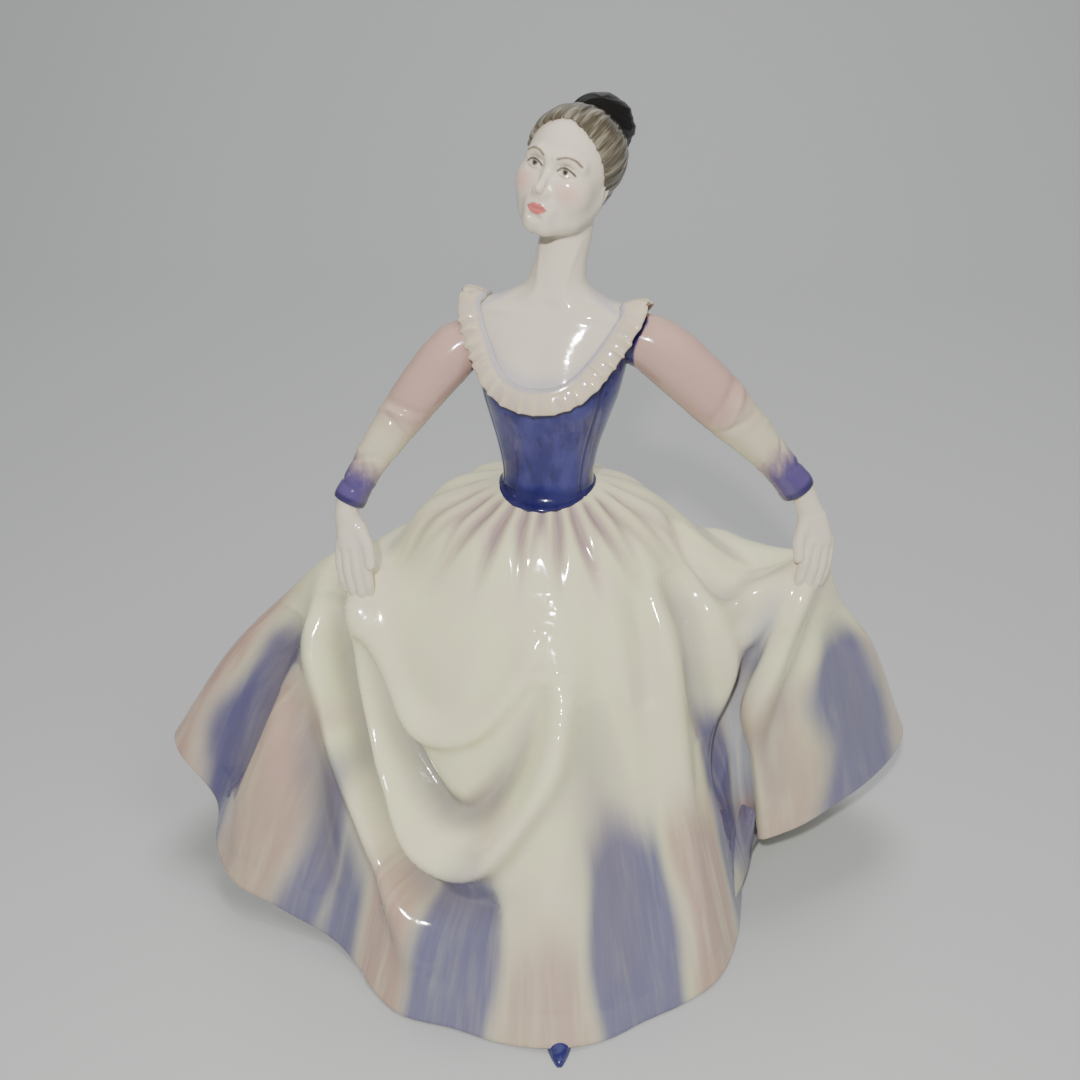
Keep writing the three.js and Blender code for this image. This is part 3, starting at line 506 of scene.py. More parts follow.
def skirt_masks(keys, shares, hollow):
    """How much of each paint, and of painted shade in the hollows, the skirt's points have."""
    down = shares[:, None]
    wander = 1.1 * np.sin(shares * 23)[:, None] * np.sin(np.radians(keys * 7))[None]
    lilac = stripes(LILAC_STRIPES, keys, shares, wander)
    pink = stripes(PINK_STRIPES, keys, shares, wander, soft=3)
    long = 0.2 + 0.08 * np.sin(keys * 0.31)[None]
    gathers = smooth(0.012, 0.05, down) * (1 - smooth(0.5 * long, long + 0.06, down))
    gathers = gathers * np.clip(np.cos(np.radians(keys)) * 0.8 + 0.5, 0.3, 1)[None]
    pink = np.maximum(pink, 0.95 * gathers * pleat_shape(keys, 4.6 + 16 * down))
    lilac = np.maximum(lilac, 0.4 * gathers * pleat_shape(keys, 3 + 8 * down))
    deep = 0.8 * lilac * stripes(DEEP_STRIPES, keys, shares, wander)
    # Painted shade in the folds' hollows, below the gathers.
    hollow_shade = hollow * smooth(0.2, 0.34, down)
    fan_edge = 0.75 * stripes(FAN_EDGE, keys, shares, wander, soft=2.5) * (1 - smooth(0.86, 0.95, down))
    # The grey-blue is painted shade in the hollows, and blue paint on the fan's rolled edge.
    blue = np.maximum(0.4 * hollow_shade, fan_edge)
    # A little pink goes into the painted shade of the hollows too.
    pink = np.maximum(pink, 0.12 * hollow_shade)
    return {"pink": pink, "lilac": lilac, "deep": deep, "grey_blue": blue, "hollow_shade": hollow_shade}


def build_skirt():
    keys, shares, grid, azimuth, hollow = skirt_surface()
    normals = grid_normals(grid)
    hem, out = grid[-1], normals[-1]
    down = unit(grid[-1] - grid[-3])
    # The wall is thin where the fan's edge folds back on to the skirt.
    half_wall = WALL / 2 * (1 - 0.7 * np.exp(-(((keys - FAN_KEY) / 16) ** 2)))[:, None]
    rows = list(grid)
    for turn in np.radians([30, 60, 90, 120, 150, 180]):
        lip = hem - out * half_wall + (out * np.cos(turn) + down * 0.45 * np.sin(turn)) * half_wall
        lip[:, 2] = np.maximum(lip[:, 2], 0.35)
        rows.append(lip)
    for share in (0.975, 0.94, 0.9):
        i = int(np.searchsorted(shares, share))
        rows.append(grid[i] - normals[i] * 2 * half_wall)
    painted_rows = len(rows) - len(shares)
    a = np.radians(azimuth)
    for width, depth, z in FOOT_RINGS:
        rows.append(np.stack([width * np.sin(a), -depth * np.cos(a), z + 0 * a], -1))
    # Over the edge the hem's paint goes on up the inside of the wall, and lilac fills the fold under the fan.
    row = np.arange(len(rows) - len(shares))[:, None]
    inner = (row > 5) * (row < len(row) - 3)
    under_fan = 0.9 * np.exp(-(((keys - FAN_KEY) / 15) ** 4))[None] * inner
    masks = {}
    for name, mask in skirt_masks(keys, shares, hollow).items():
        tail = mask[-1][None] * (row < painted_rows)
        if name == "lilac":
            tail = np.maximum(tail, under_fan)
        masks[name] = np.concatenate([mask, tail]).ravel()
    a = np.radians(keys)[None]
    weave = np.stack(np.broadcast_arrays(60 * np.sin(a), 60 * np.cos(a), 120 * shares[:, None]), -1)
    weave = np.concatenate([weave] + [weave[-1:] + [0, 0, 2 * (k + 1)] for k in range(len(row))])
    make_piece(
        "skirt_cloth", np.concatenate(rows), grid_faces(len(rows), len(keys))[:, ::-1], "skirt_glaze",
        glaze("painted_skirt", skirt_paint), ["skirt"], weave=weave.reshape(-1, 3), **masks,
    )


# ---------------------------------------------------------------- torso, bodice and chest
TORSO_YAW = -16
BODICE_FOOT = 115.4  # where the bodice leaves the torso and lies on the skirt
NECK_TOP = 177.5
# [height, middle x, middle y, half width, depth in front, depth behind]
TORSO = arr(
    [111, 0, -0.6, 11.4, 11.2, 8.8], [113, 0, -0.6, 11.4, 11.2, 8.8], [118, 0, -0.8, 11.2, 10.2, 8.6],
    [125, 0, -1, 12.4, 11, 8.8], [132, 0.2, -1.2, 14.4, 12.8, 9], [138, 0.4, -1.4, 16.2, 14, 9.2],
    [143, 0.6, -1.4, 17.2, 13.4, 9.4], [149, 0.8, -1, 18.4, 11, 9.4], [154, 1, -0.8, 19.8, 8.8, 9],
    [157.6, 1.2, -0.6, 19, 7.2, 8], [160.2, 1.4, -0.4, 12.4, 6.6, 7.2], [163, 1.8, -0.2, 7.4, 6, 6.4],
    [167, 2.4, 0, 6.1, 5.8, 6], [171, 3.2, 0.2, 5.9, 5.8, 6], [175, 4, 0.4, 5.9, 5.8, 6],
    [179, 4.6, 0.6, 5.8, 5.6, 5.8],
)
# The neckline on the torso as [angle from the chest's middle, angle, height].
NECKLINE = arr(
    [0, 0, 141.5], [18, 18, 142.3], [34, 34, 145], [46, 46, 149.5], [57, 57, 155.2], [71, 71, 158],
    [90, 90, 158.4], [109, 109, 158], [123, 123, 156.4], [142, 142, 153.4], [180, 180, 151.5],
    [218, 218, 153.4], [237, 237, 156.4], [251, 251, 158], [270, 270, 158.4], [289, 289, 158],
    [303, 303, 155.2], [314, 314, 149.5], [326, 326, 145], [342, 342, 142.3],
)


def torso_section(z):
    """The torso's middle x and y, half width, and depths in front and behind, at each height."""
    return np.moveaxis(hermite(TORSO[:, 0], TORSO[:, 1:], z), -1, 0)


def torso_point(angle, z):
    angle, z = np.broadcast_arrays(np.asarray(angle, float), np.asarray(z, float))
    x, y, width, front, back = torso_section(z)
    a, yaw = np.radians(angle), rad(TORSO_YAW)
    across = width * np.sin(a)
    depth = -np.where(np.cos(a) > 0, front, back) * np.cos(a)
    sin, cos = math.sin(yaw), math.cos(yaw)
    return np.stack([across * cos - depth * sin + x, across * sin + depth * cos + y, z], -1)


def neckline_height(angle):
    return around(NECKLINE, np.asarray(angle, float) % 360)[..., 1]


def bump_at(angle, z, at, height, widths):
    """A soft mound on the torso, mirrored left and right."""
    near = np.exp(-(((np.abs(angle) - at[0]) / widths[0]) ** 2) - ((z - at[1]) / widths[1]) ** 2)
    return height * near


def torso_relief(angle, z):
    """Bust, collarbones, the pit of the neck and the neck's two tendons, in mm."""
    turned = (angle + 180) % 360 - 180
    relief = bump_at(turned, z, (30, 139.5), 0.9, (17, 5.5)) - bump_at(turned, z, (0, 145), 0.5, (9, 9))
    relief += bump_at(turned, z, (38 - (z - 157) * 2, 157.6), 0.35, (18, 0.9))
    pit = bump_at(turned, z, (0, 159.6), 0.55, (11, 1.6))
    relief -= pit + bump_at(turned, z, (46, 160.6), 0.35, (16, 1.6))
    tendon = np.exp(-(((np.abs(turned) - 20 - (z - 160) * 2.1) / 9) ** 2))
    return relief + 0.28 * tendon * smooth(159, 163, z) * (1 - smooth(169, 175, z))


def torso_normal(angle, z):
    return unit(np.cross(torso_point(angle + 2, z) - torso_point(angle - 2, z),
                         torso_point(angle, z + 0.4) - torso_point(angle, z - 0.4)))


LAP = {"share": 0.12, "steps": 60}  # the top of the skirt, on which the bodice's lower edge lies


def bodice_paint(tree):
    patches = noise(tree, None, 150, detail=3, rough=0.55, stretch=(1, 1, 0.45))
    strokes = noise(tree, None, 520, detail=3, rough=0.7, stretch=(1, 1, 0.3))
    colour = mix_colour(tree, ramp(tree, patches, 0.36, 0.62), VIOLET, LIGHT_VIOLET)
    colour = mix_colour(tree, ramp(tree, strokes, 0.5, 0.78, 0, 0.7), colour, DARK_VIOLET)
    return mix_colour(tree, attribute(tree, "edge"), colour, DARK_VIOLET)


def build_bodice():
    count, steps = 288, 90
    angles = bearings(count)
    top = neckline_height(angles)
    share = np.linspace(0, 1, steps)[:, None]
    z = top[None] + (BODICE_FOOT - top[None]) * share
    angle = np.broadcast_to(angles, z.shape)
    points = torso_point(angle, z) + torso_normal(angle, z) * torso_relief(angle, z)[..., None]
    front = np.maximum(0, np.cos(np.radians(angles))) ** 3
    seam = np.exp(-(((np.abs(angle) - 52 - 6 * share) / 1.6) ** 2)) * smooth(0.02, 0.12, share)
    points -= torso_normal(angle, z) * (0.22 * seam)[..., None]
    # Below the waist the bodice lies on the skirt and ends in a thin edge that dips to a point in front.
    azimuth = angles + TORSO_YAW
    shares = np.linspace(0, LAP["share"], LAP["steps"])
    lap, _ = cloth(azimuth, shares)
    outward = grid_normals(lap)
    reach = np.hypot(lap[..., 0], lap[..., 1])
    waist = np.hypot(points[-1][:, 0], points[-1][:, 1])
    start = np.array([np.interp(waist[j] - 0.15, reach[:, j], shares) for j in range(count)])
    length = 0.004 + 0.03 * front
    rows = list(points)
    j = np.arange(count)
    for along, lift in ((0.1, 0.2), (0.55, 0.4), (0.9, 0.4), (1, 0.25), (1.02, 0), (1, -0.8)):
        at = (start + length * along) / LAP["share"] * (LAP["steps"] - 1)
        i = np.clip(at.astype(int), 0, LAP["steps"] - 2)
        t = (at - i)[:, None]
        rows.append(lap[i, j] * (1 - t) + lap[i + 1, j] * t + outward[i, j] * lift)
    edge = np.concatenate([0.75 * seam + 0.5 * smooth(0.93, 1, share), np.full((6, count), 0.6)])
    every, faces = capped(np.stack(rows), turned=True)
    make_piece("bodice", every, faces, "bodice_glaze", glaze("painted_bodice", bodice_paint, roughness=0.12),
               ["bodice"], edge=np.concatenate([edge.ravel(), [0.5, 0.5]]))


def skin_paint(tree):
    colour = mix_colour(tree, noise(tree, None, 90, detail=2), SKIN, WARM_SKIN)
    return mix_colour(tree, attribute(tree, "shade"), colour, GREY_BLUE)


def build_chest():
    count, steps = 288, 130
    angles = bearings(count)
    bottom = neckline_height(angles) - 0.6
    share = np.linspace(0, 1, steps)[:, None]
    z = bottom[None] + (NECK_TOP - bottom[None]) * share
    angle = np.broadcast_to(angles, z.shape)
    slim = -0.35 * smooth(172, 177, z)
    points = torso_point(angle, z) + torso_normal(angle, z) * (torso_relief(angle, z) + slim)[..., None]
    shade = 0.4 * (1 - smooth(2.4, 6.5, z - bottom[None])) * smooth(1.2, 2.4, z - bottom[None])
    every, faces = capped(points)
    make_piece("chest_and_neck", every, faces, "skin_glaze", SKIN_GLAZE, ["chest_and_neck"],
               shade=np.concatenate([shade.ravel(), [0, 0]]))


# ---------------------------------------------------------------- frill
# In mm: "gap" is half the joint between two strips, and "column" the spacing of the points along them.
FRILL = {"width": 4.0, "strap_width": 3.7, "thickness": 1.1, "lift": 0.8, "ripple": 2.9, "inner": 1.4,
         "gap": 0.03, "column": 0.22}
FRILL_STRIPS = {
    "frill_front": (-40, 40), "frill_left_strap": (40, 88), "frill_back": (88, 272),
    "frill_right_strap": (-88, -40),
}


def frill_paint(tree):
    colour = mix_colour(tree, noise(tree, None, 240, detail=2), FRILL_CREAM, FRILL_PINK)
    return mix_colour(tree, attribute(tree, "shade"), colour, GREY_BLUE)


def build_frill():
    material = glaze("painted_frill", frill_paint, roughness=0.12)
    lap = np.linspace(-88, 272, 3000)
    line = torso_point(lap, neckline_height(lap))
    lengths = np.concatenate([[0], np.cumsum(np.linalg.norm(np.diff(line, axis=0), axis=1))])
    for name, (start, end) in FRILL_STRIPS.items():
        first, last = np.interp([start, end], lap, lengths)
        count = int((last - first) / FRILL["column"])
        length = np.linspace(first + FRILL["gap"], last - FRILL["gap"], count)
        angle = np.interp(length, lengths, lap)
        z = neckline_height(angle)
        here = torso_point(angle, z)
        along = unit(torso_point(angle + 1, neckline_height(angle + 1))
                     - torso_point(angle - 1, neckline_height(angle - 1)))
        normal = torso_normal(angle, z)
        normal[:, 2] += 2.5 * np.abs(np.sin(np.radians(angle))) ** 4
        down = unit(np.cross(along, normal))
        face = np.cross(down, along)
        side = np.sin(np.radians(angle)) ** 2
        width = FRILL["width"] + (FRILL["strap_width"] - FRILL["width"]) * side
        phase = 2 * np.pi * length / FRILL["ripple"]
        phase = phase + 0.7 * np.sin(length * 0.83) + 0.5 * np.sin(length * 1.9 + 1)
        strength = (0.22 + 0.68 * side) * (0.8 + 0.2 * np.sin(length * 0.47 + 2))
        t = np.linspace(0, 1, 16)[:, None]
        wave = np.cos(phase)[None] + 0.25 * np.cos(2 * phase)[None]
        across = -FRILL["inner"] + (width[None] + FRILL["inner"]) * t + 0.36 * strength[None] * wave * t
        height = 0.3 + FRILL["thickness"] + 0.5 * np.sin(np.pi * t) ** 0.7 + FRILL["lift"] * t
        height = height + strength[None] * wave * 0.75 * smooth(0.12, 1, t)
        height = height - 0.16 * np.exp(-(((t - 0.2) / 0.05) ** 2))
        under = height - FRILL["thickness"] * (1.05 - 0.55 * t)
        # The cross-section goes out over the top, round the free edge, back below and round the inner edge.
        across_all = np.concatenate([across, across[-1:] + 0.22, (across * (1 - 0.015 * t))[::-1],
                                     across[:1] - 0.25])
        middle = (height + under) / 2
        height_all = np.concatenate([height, middle[-1:], under[::-1], middle[:1]])
        grid = here[None] + across_all[..., None] * down[None] + height_all[..., None] * face[None]
        none = 0 * across
        top = 0.6 * np.exp(-(((t - 0.04) / 0.09) ** 2)) + 0.35 * smooth(0.2, 1, -wave) * t * (1 - t) * 3
        shade = np.concatenate([top, none[:1], none, 0.6 + none[:1]]).T
        every, faces = capped(np.swapaxes(grid, 0, 1))
        make_piece(name, every, faces, "frill_glaze", material, [name],
                   shade=np.concatenate([np.clip(shade, 0, 1).ravel(), [0, 0]]))


# ---------------------------------------------------------------- sleeves
ARMS = {
    "right": arr([-15.5, 2, 149.5, 5.4], [-21.6, 1.2, 146.8, 6.3], [-28.6, -0.8, 139.5, 6],
                 [-36.2, -2.8, 130, 5.5], [-42.2, -5.4, 122, 4.7], [-46.4, -7.6, 115.2, 3.9],
                 [-47.8, -8.4, 112.6, 3.9]),
    "left": arr([18, -3, 151.5, 5.8], [24.4, -4, 149.4, 6.9], [32.8, -5, 142.8, 6.9], [42.8, -6, 133.4, 6.5],
                [51.6, -7, 124.8, 5.3], [57.8, -7.8, 117.8, 4.3], [59.6, -8, 115.4, 4.3]),
}
# Creases of the sleeve as (share down the arm, direction round it, height, half width, slant, spread)
CREASES = (
    (0.17, 90, 0.5, 0.018, 0.05, 70), (0.23, 60, -0.35, 0.02, 0.06, 60), (0.3, 110, 0.3, 0.02, -0.04, 55),
    (0.47, -80, -0.55, 0.022, 0.03, 60), (0.52, -60, 0.45, 0.02, 0.04, 70),
    (0.57, -100, -0.5, 0.018, -0.03, 60), (0.64, 100, 0.35, 0.02, 0.05, 60),
    (0.72, 60, 0.4, 0.016, -0.05, 80), (0.79, -40, -0.4, 0.016, 0.05, 80),
    (0.85, 110, 0.35, 0.013, 0.03, 90), (0.91, 20, -0.3, 0.012, -0.02, 120),
)


def limb_frame(rows, count):
    """Centres, tangents, two square directions and the row values along a limb."""
    centres = curve(rows[:, :3], count)
    lengths = np.linspace(0, 1, count)
    values = hermite(np.linspace(0, 1, len(rows)), rows[:, 3:], lengths)
    along = unit(np.gradient(centres, axis=0))
    side = unit(np.cross(np.array([0, 1.0, 0])[None], along))
    return centres, along, side, np.cross(along, side), values, lengths


def ragged(tree, along, strokes):
    """The share down the arm, shifted here and there so that a painted border is uneven."""
    return maths(tree, "ADD", along, maths(tree, "MULTIPLY", maths(tree, "SUBTRACT", strokes, 0.5), 0.16))


def sleeve_paint(tree):
    along = attribute(tree, "down")
    brush = noise(tree, None, 420, detail=3, rough=0.65, stretch=(1, 1, 0.35))
    soft = noise(tree, None, 160, detail=2)
    place = ragged(tree, along, soft)
    colour = mix_colour(tree, ramp(tree, place, 0.44, 0.66), SLEEVE_PINK, SLEEVE_CREAM)
    colour = mix_colour(tree, ramp(tree, place, 0.72, 0.86, 0, 0.55), colour, SLEEVE_PINK)
    colour = mix_colour(tree, ramp(tree, ragged(tree, along, brush), 0.74, 0.9, 0, 0.95), colour, CUFF)
    colour = mix_colour(tree, ramp(tree, along, 0.965, 0.985, 0, 0.6), colour, DARK_VIOLET)
    return mix_colour(tree, attribute(tree, "armhole"), colour, VIOLET)


def armhole(grid):
    """1 where a sleeve lies close to the bodice, whose paint runs on to it as a narrow band."""
    x, y, width, front, back = torso_section(np.clip(grid[..., 2], 120, 157))
    sin, cos = math.sin(rad(TORSO_YAW)), math.cos(rad(TORSO_YAW))
    u = (grid[..., 0] - x) * cos + (grid[..., 1] - y) * sin
    v = -(grid[..., 0] - x) * sin + (grid[..., 1] - y) * cos
    out = (np.hypot(u / width, v / np.where(v < 0, front, back)) - 1) * width
    return 1 - smooth(1.6, 2.1, out)


def build_sleeves():
    material = glaze("painted_sleeve", sleeve_paint, roughness=0.11)
    sides, count = 96, 190
    turn = circle(sides)
    for name, rows in ARMS.items():
        centres, along, side, front, values, t = limb_frame(rows, count)
        radius = values[:, :1] + 0 * turn[None]
        for at, toward, height, half, slant, spread in CREASES:
            gap = (np.degrees(turn) - (180 - toward if name == "left" else toward) + 180) % 360 - 180
            place = t[:, None] - at - slant * np.sin(np.radians(gap))
            radius += height * np.exp(-((gap / spread) ** 2)) * np.exp(-((place / half) ** 2))
        # The cuff swells a little and ends in a rolled edge.
        radius += 0.15 * np.exp(-(((t[:, None] - 0.975) / 0.02) ** 2))
        grid = centres[:, None] + radius[..., None] * (
            np.cos(turn)[None, :, None] * side[:, None] + np.sin(turn)[None, :, None] * front[:, None])
        end, inward = grid[-1], unit(centres[-1] - grid[-1])
        rim = ((0.25, 0.12), (0.4, 0.45), (0.3, 0.8), (-1.5, 1.0))
        grid = np.concatenate([grid, np.stack([end + along[-1] * a + inward * b for a, b in rim])])
        down = np.concatenate([t, np.full(len(rim), 1.0)])[:, None] + 0 * turn[None]
        every, faces = capped(grid)
        make_piece(name + "_sleeve", every, faces, "sleeve_glaze", material, [name + "_sleeve"],
                   down=np.concatenate([down.ravel(), [0, 1]]),
                   armhole=np.concatenate([armhole(grid).ravel(), [1, 0]]))


# ---------------------------------------------------------------- solids from a distance field
def ellipsoid(p, centre, radii):
    q, r = p - np.array(centre, dtype=p.dtype), np.array(radii, dtype=p.dtype)
    near = np.sqrt(((q / r) ** 2).sum(-1))
    return near * (near - 1) / np.maximum(np.sqrt(((q / (r * r)) ** 2).sum(-1)), 1e-6)


def rope(p, *balls):
    """Distance to a chain of balls [x, y, z, radius] with straight links between them."""
    best = None
    for a, b in zip(balls[:-1], balls[1:]):
        a, b = np.array(a, dtype=p.dtype), np.array(b, dtype=p.dtype)
        link = b[:3] - a[:3]
        t = np.clip(((p - a[:3]) @ link) / (link @ link), 0, 1)
        gap = np.sqrt(((p - a[:3] - t[..., None] * link) ** 2).sum(-1)) - (a[3] + (b[3] - a[3]) * t)
        best = gap if best is None else np.minimum(best, gap)
    return best


def join(a, b, soft):
    h = np.clip(0.5 + 0.5 * (b - a) / soft, 0, 1)
    return b + (a - b) * h - soft * h * (1 - h)


def carve(a, b, soft):
    return -join(-a, b, soft)


def surface_nets(field, low, step):
    """Points and quads of the surface where field[x, y, z] crosses zero; it is negative inside."""
    inside = field < 0
    n = np.array(field.shape) - 1

    def block(values, i, j, k):
        return values[i:i + n[0], j:j + n[1], k:k + n[2]]

    filled = sum(block(inside, i, j, k).astype(np.int8) for i in (0, 1) for j in (0, 1) for k in (0, 1))
    active = (filled > 0) & (filled < 8)
    cells = np.argwhere(active)
    number = np.full(active.shape, -1)
    number[active] = np.arange(len(cells))
    total, hits = np.zeros((len(cells), 3)), np.zeros((len(cells), 1))
    for axis in range(3):
        step_along = np.eye(3, dtype=int)[axis]
        for u in (0, 1):
            for v in (0, 1):
                offset = np.zeros(3, dtype=int)
                offset[(axis + 1) % 3], offset[(axis + 2) % 3] = u, v
                a, b = (field[tuple((cells + o).T)] for o in (offset, offset + step_along))
                cross = ((a < 0) != (b < 0))[:, None]
                t = (a / np.where(a == b, 1, a - b))[:, None]
                total += np.where(cross, offset + t * step_along, 0)
                hits += cross
    points = np.array(low) + step * (cells + total / hits)
    quads = []
    for axis in range(3):
        u, v = np.eye(3, dtype=int)[(axis + 1) % 3], np.eye(3, dtype=int)[(axis + 2) % 3]
        front = np.take(inside, range(field.shape[axis] - 1), axis)
        behind = np.take(inside, range(1, field.shape[axis]), axis)
        for first, flip in ((front & ~behind, False), (behind & ~front, True)):
            at = np.argwhere(first)
            for other in ((axis + 1) % 3, (axis + 2) % 3):
                at = at[(at[:, other] > 0) & (at[:, other] < n[other])]
            ring = [number[tuple((at + o).T)] for o in (-u - v, -v, 0 * u, -u)]
            quads.append(np.stack(ring[::-1] if flip else ring, -1))
    return points, np.concatenate(quads)


def gradient(shape, points):
    step = 0.05
    across = [shape(points + step * e) - shape(points - step * e) for e in np.eye(3)]
    return np.stack(across, -1) / (2 * step)


def sculpt(shape, low, high, fine):
    """The surface of a distance function over a box, pulled onto the true surface, with its normals."""
    step = fine
    axes = [np.arange(a, b, step, dtype=np.float32) for a, b in zip(low, high)]
    slices = (np.stack(np.meshgrid([x], *axes[1:], indexing="ij"), -1) for x in axes[0])
    field = np.stack([shape(points)[0] for points in slices])
    points, quads = surface_nets(field, low, step)
    for _ in range(2):
        slope = gradient(shape, points)
        points = points - (shape(points) / np.maximum((slope**2).sum(-1), 0.05))[:, None] * slope
    return points, quads, unit(gradient(shape, points))


# ---------------------------------------------------------------- hands
# Each finger as [x, y, z, radius] down from its knuckle; the thumb comes first.
HANDS = {
    "right": {
        "palm": [
            ((-47.8, -8.6, 114.5, 2.2), (-48.5, -9.6, 110, 2.45)),
            ((-48.6, -10.2, 107.5, 2.6), (-48.4, -11.3, 103, 2.8)),
            ((-46.3, -10.6, 107, 2.2), (-45.6, -11.8, 103, 2.3)),
        ],
        "fingers": [
            ((-45.2, -11.6, 106.5, 1.5), (-43.4, -13.6, 102.5, 1.35), (-43, -15.2, 98.6, 1.1)),
            ((-45, -12.6, 102.5, 1.4), (-44.2, -14.6, 97.5, 1.25), (-43.6, -15.4, 93.2, 1.1),
             (-43.5, -15, 90.4, 0.9)),
            ((-46.9, -12.8, 102, 1.4), (-46.2, -14.8, 96.4, 1.3), (-45.5, -15.6, 91.6, 1.1),
             (-45.2, -15.1, 88.4, 0.9)),
            ((-48.7, -12.4, 102, 1.35), (-48.4, -14.3, 96.6, 1.2), (-47.6, -15.2, 92.2, 1.05),
             (-47.1, -14.8, 89.2, 0.85)),
            ((-50.2, -11.6, 102.4, 1.2), (-50.4, -13, 97.8, 1.1), (-49.9, -13.9, 94, 0.95),
             (-49.4, -13.7, 91.4, 0.8)),
        ],
    },
    "left": {
        "palm": [
            ((60.6, -8.3, 115.5, 2.5), (62.6, -9, 111, 2.65)),
            ((64.6, -9.8, 108.4, 2.7), (66, -11, 104, 2.7)),
            ((62.6, -10.4, 108, 2.2), (63.4, -11.6, 104, 2.3)),
        ],
        "fingers": [
            ((61.6, -11, 108, 1.5), (60.2, -13, 104, 1.35), (60.2, -14.8, 100.4, 1.1)),
            ((63, -12.6, 103.4, 1.4), (61.8, -14.6, 98.8, 1.25), (60.9, -15.4, 95, 1.1),
             (60.6, -15.2, 92.4, 0.9)),
            ((64.8, -12.6, 102.8, 1.4), (63.9, -14.6, 97.6, 1.3), (62.9, -15.5, 93.6, 1.1),
             (62.4, -15.2, 90.8, 0.9)),
            ((66.6, -12, 102.8, 1.35), (66, -14, 97.8, 1.2), (65, -15, 94, 1.05), (64.4, -14.8, 91.4, 0.85)),
            ((68, -11, 103.2, 1.2), (67.7, -12.6, 99, 1.1), (66.9, -13.8, 95.6, 0.95),
             (66.3, -13.8, 93.2, 0.8)),
        ],
    },
}
FLESH = 0.45  # added round the wrist, and half as much round the fingers
HAND_MARGIN = 3.6


def build_hands():
    for name, hand in HANDS.items():
        def shape(p, hand=hand):
            palm = rope(p, *hand["palm"][0]) - FLESH
            for part in hand["palm"][1:]:
                palm = join(palm, rope(p, *part), 1.6)
            fingers = None
            for finger in hand["fingers"]:
                one = rope(p, *finger)
                fingers = one if fingers is None else join(fingers, one, 0.22)
            return join(palm, fingers - 0.5 * FLESH, 0.9)

        balls = arr(*[ball for part in hand["palm"] + hand["fingers"] for ball in part])
        low, high = balls[:, :3].min(0) - HAND_MARGIN, balls[:, :3].max(0) + HAND_MARGIN
        points, quads, _ = sculpt(shape, low, high, 0.24)
        make_piece(name + "_hand", points, quads, "skin_glaze", SKIN_GLAZE, [name + "_hand"],
                   shade=0 * points[:, 0])


# ---------------------------------------------------------------- head
# The head in its own frame: -Y is the face and +Z the crown, 25 mm from chin to crown before it is scaled.
HEAD = {"x": 4.0, "y": -0.5, "z": 187, "pitch": -14, "roll": 12, "yaw": -28, "scale": 1.09}
head_turn = np.array(Matrix.Rotation(rad(HEAD["yaw"]), 3, "Z") @ Matrix.Rotation(rad(HEAD["roll"]), 3, "Y")
                     @ Matrix.Rotation(rad(HEAD["pitch"]), 3, "X"))
head_place = np.array([HEAD["x"], HEAD["y"], HEAD["z"]])
BUN = np.array([-0.6, 10.6, 10.2])
BUN_RADII = (7.1, 6.1, 6.3)
BUN_MEAN = 6.5  # the mean of its radii
BUN_EDGE = (7.3, 6.3, 6.5)  # the pale edge of the hair begins this far from the bun's middle
HAIR = {"centre": (0, 2.2, 3.6), "radii": (9.7, 11.4, 9.4)}


def from_head(points):
    return HEAD["scale"] * points @ head_turn.T + head_place


def to_head(points):
    return (np.asarray(points, float) - head_place) @ head_turn / HEAD["scale"]


def mirrored(p):
    return np.concatenate([np.abs(p[..., :1]), p[..., 1:]], -1)


def skull(p):
    """Cranium, cheeks, jaw and chin; p is already folded onto one side."""
    cranium = ellipsoid(p, (0, 1.6, 3.4), (8.8, 10.3, 8.8))
    d = join(cranium, ellipsoid(p, (0, -2.2, -2.4), (7.6, 7.3, 8.6)), 3)
    d = join(d, rope(p, (5.8, 0.8, -5, 2), (4.7, -2.8, -8.3, 2), (1.6, -6, -10.4, 1.8)), 4)
    d = join(d, rope(p, (0, -6.9, -10.4, 2), (0.7, -6.9, -10.4, 2)), 1.6)
    return join(d, ellipsoid(p, (4.4, -5.4, -3.4), (2.9, 2.6, 2.9)), 3)


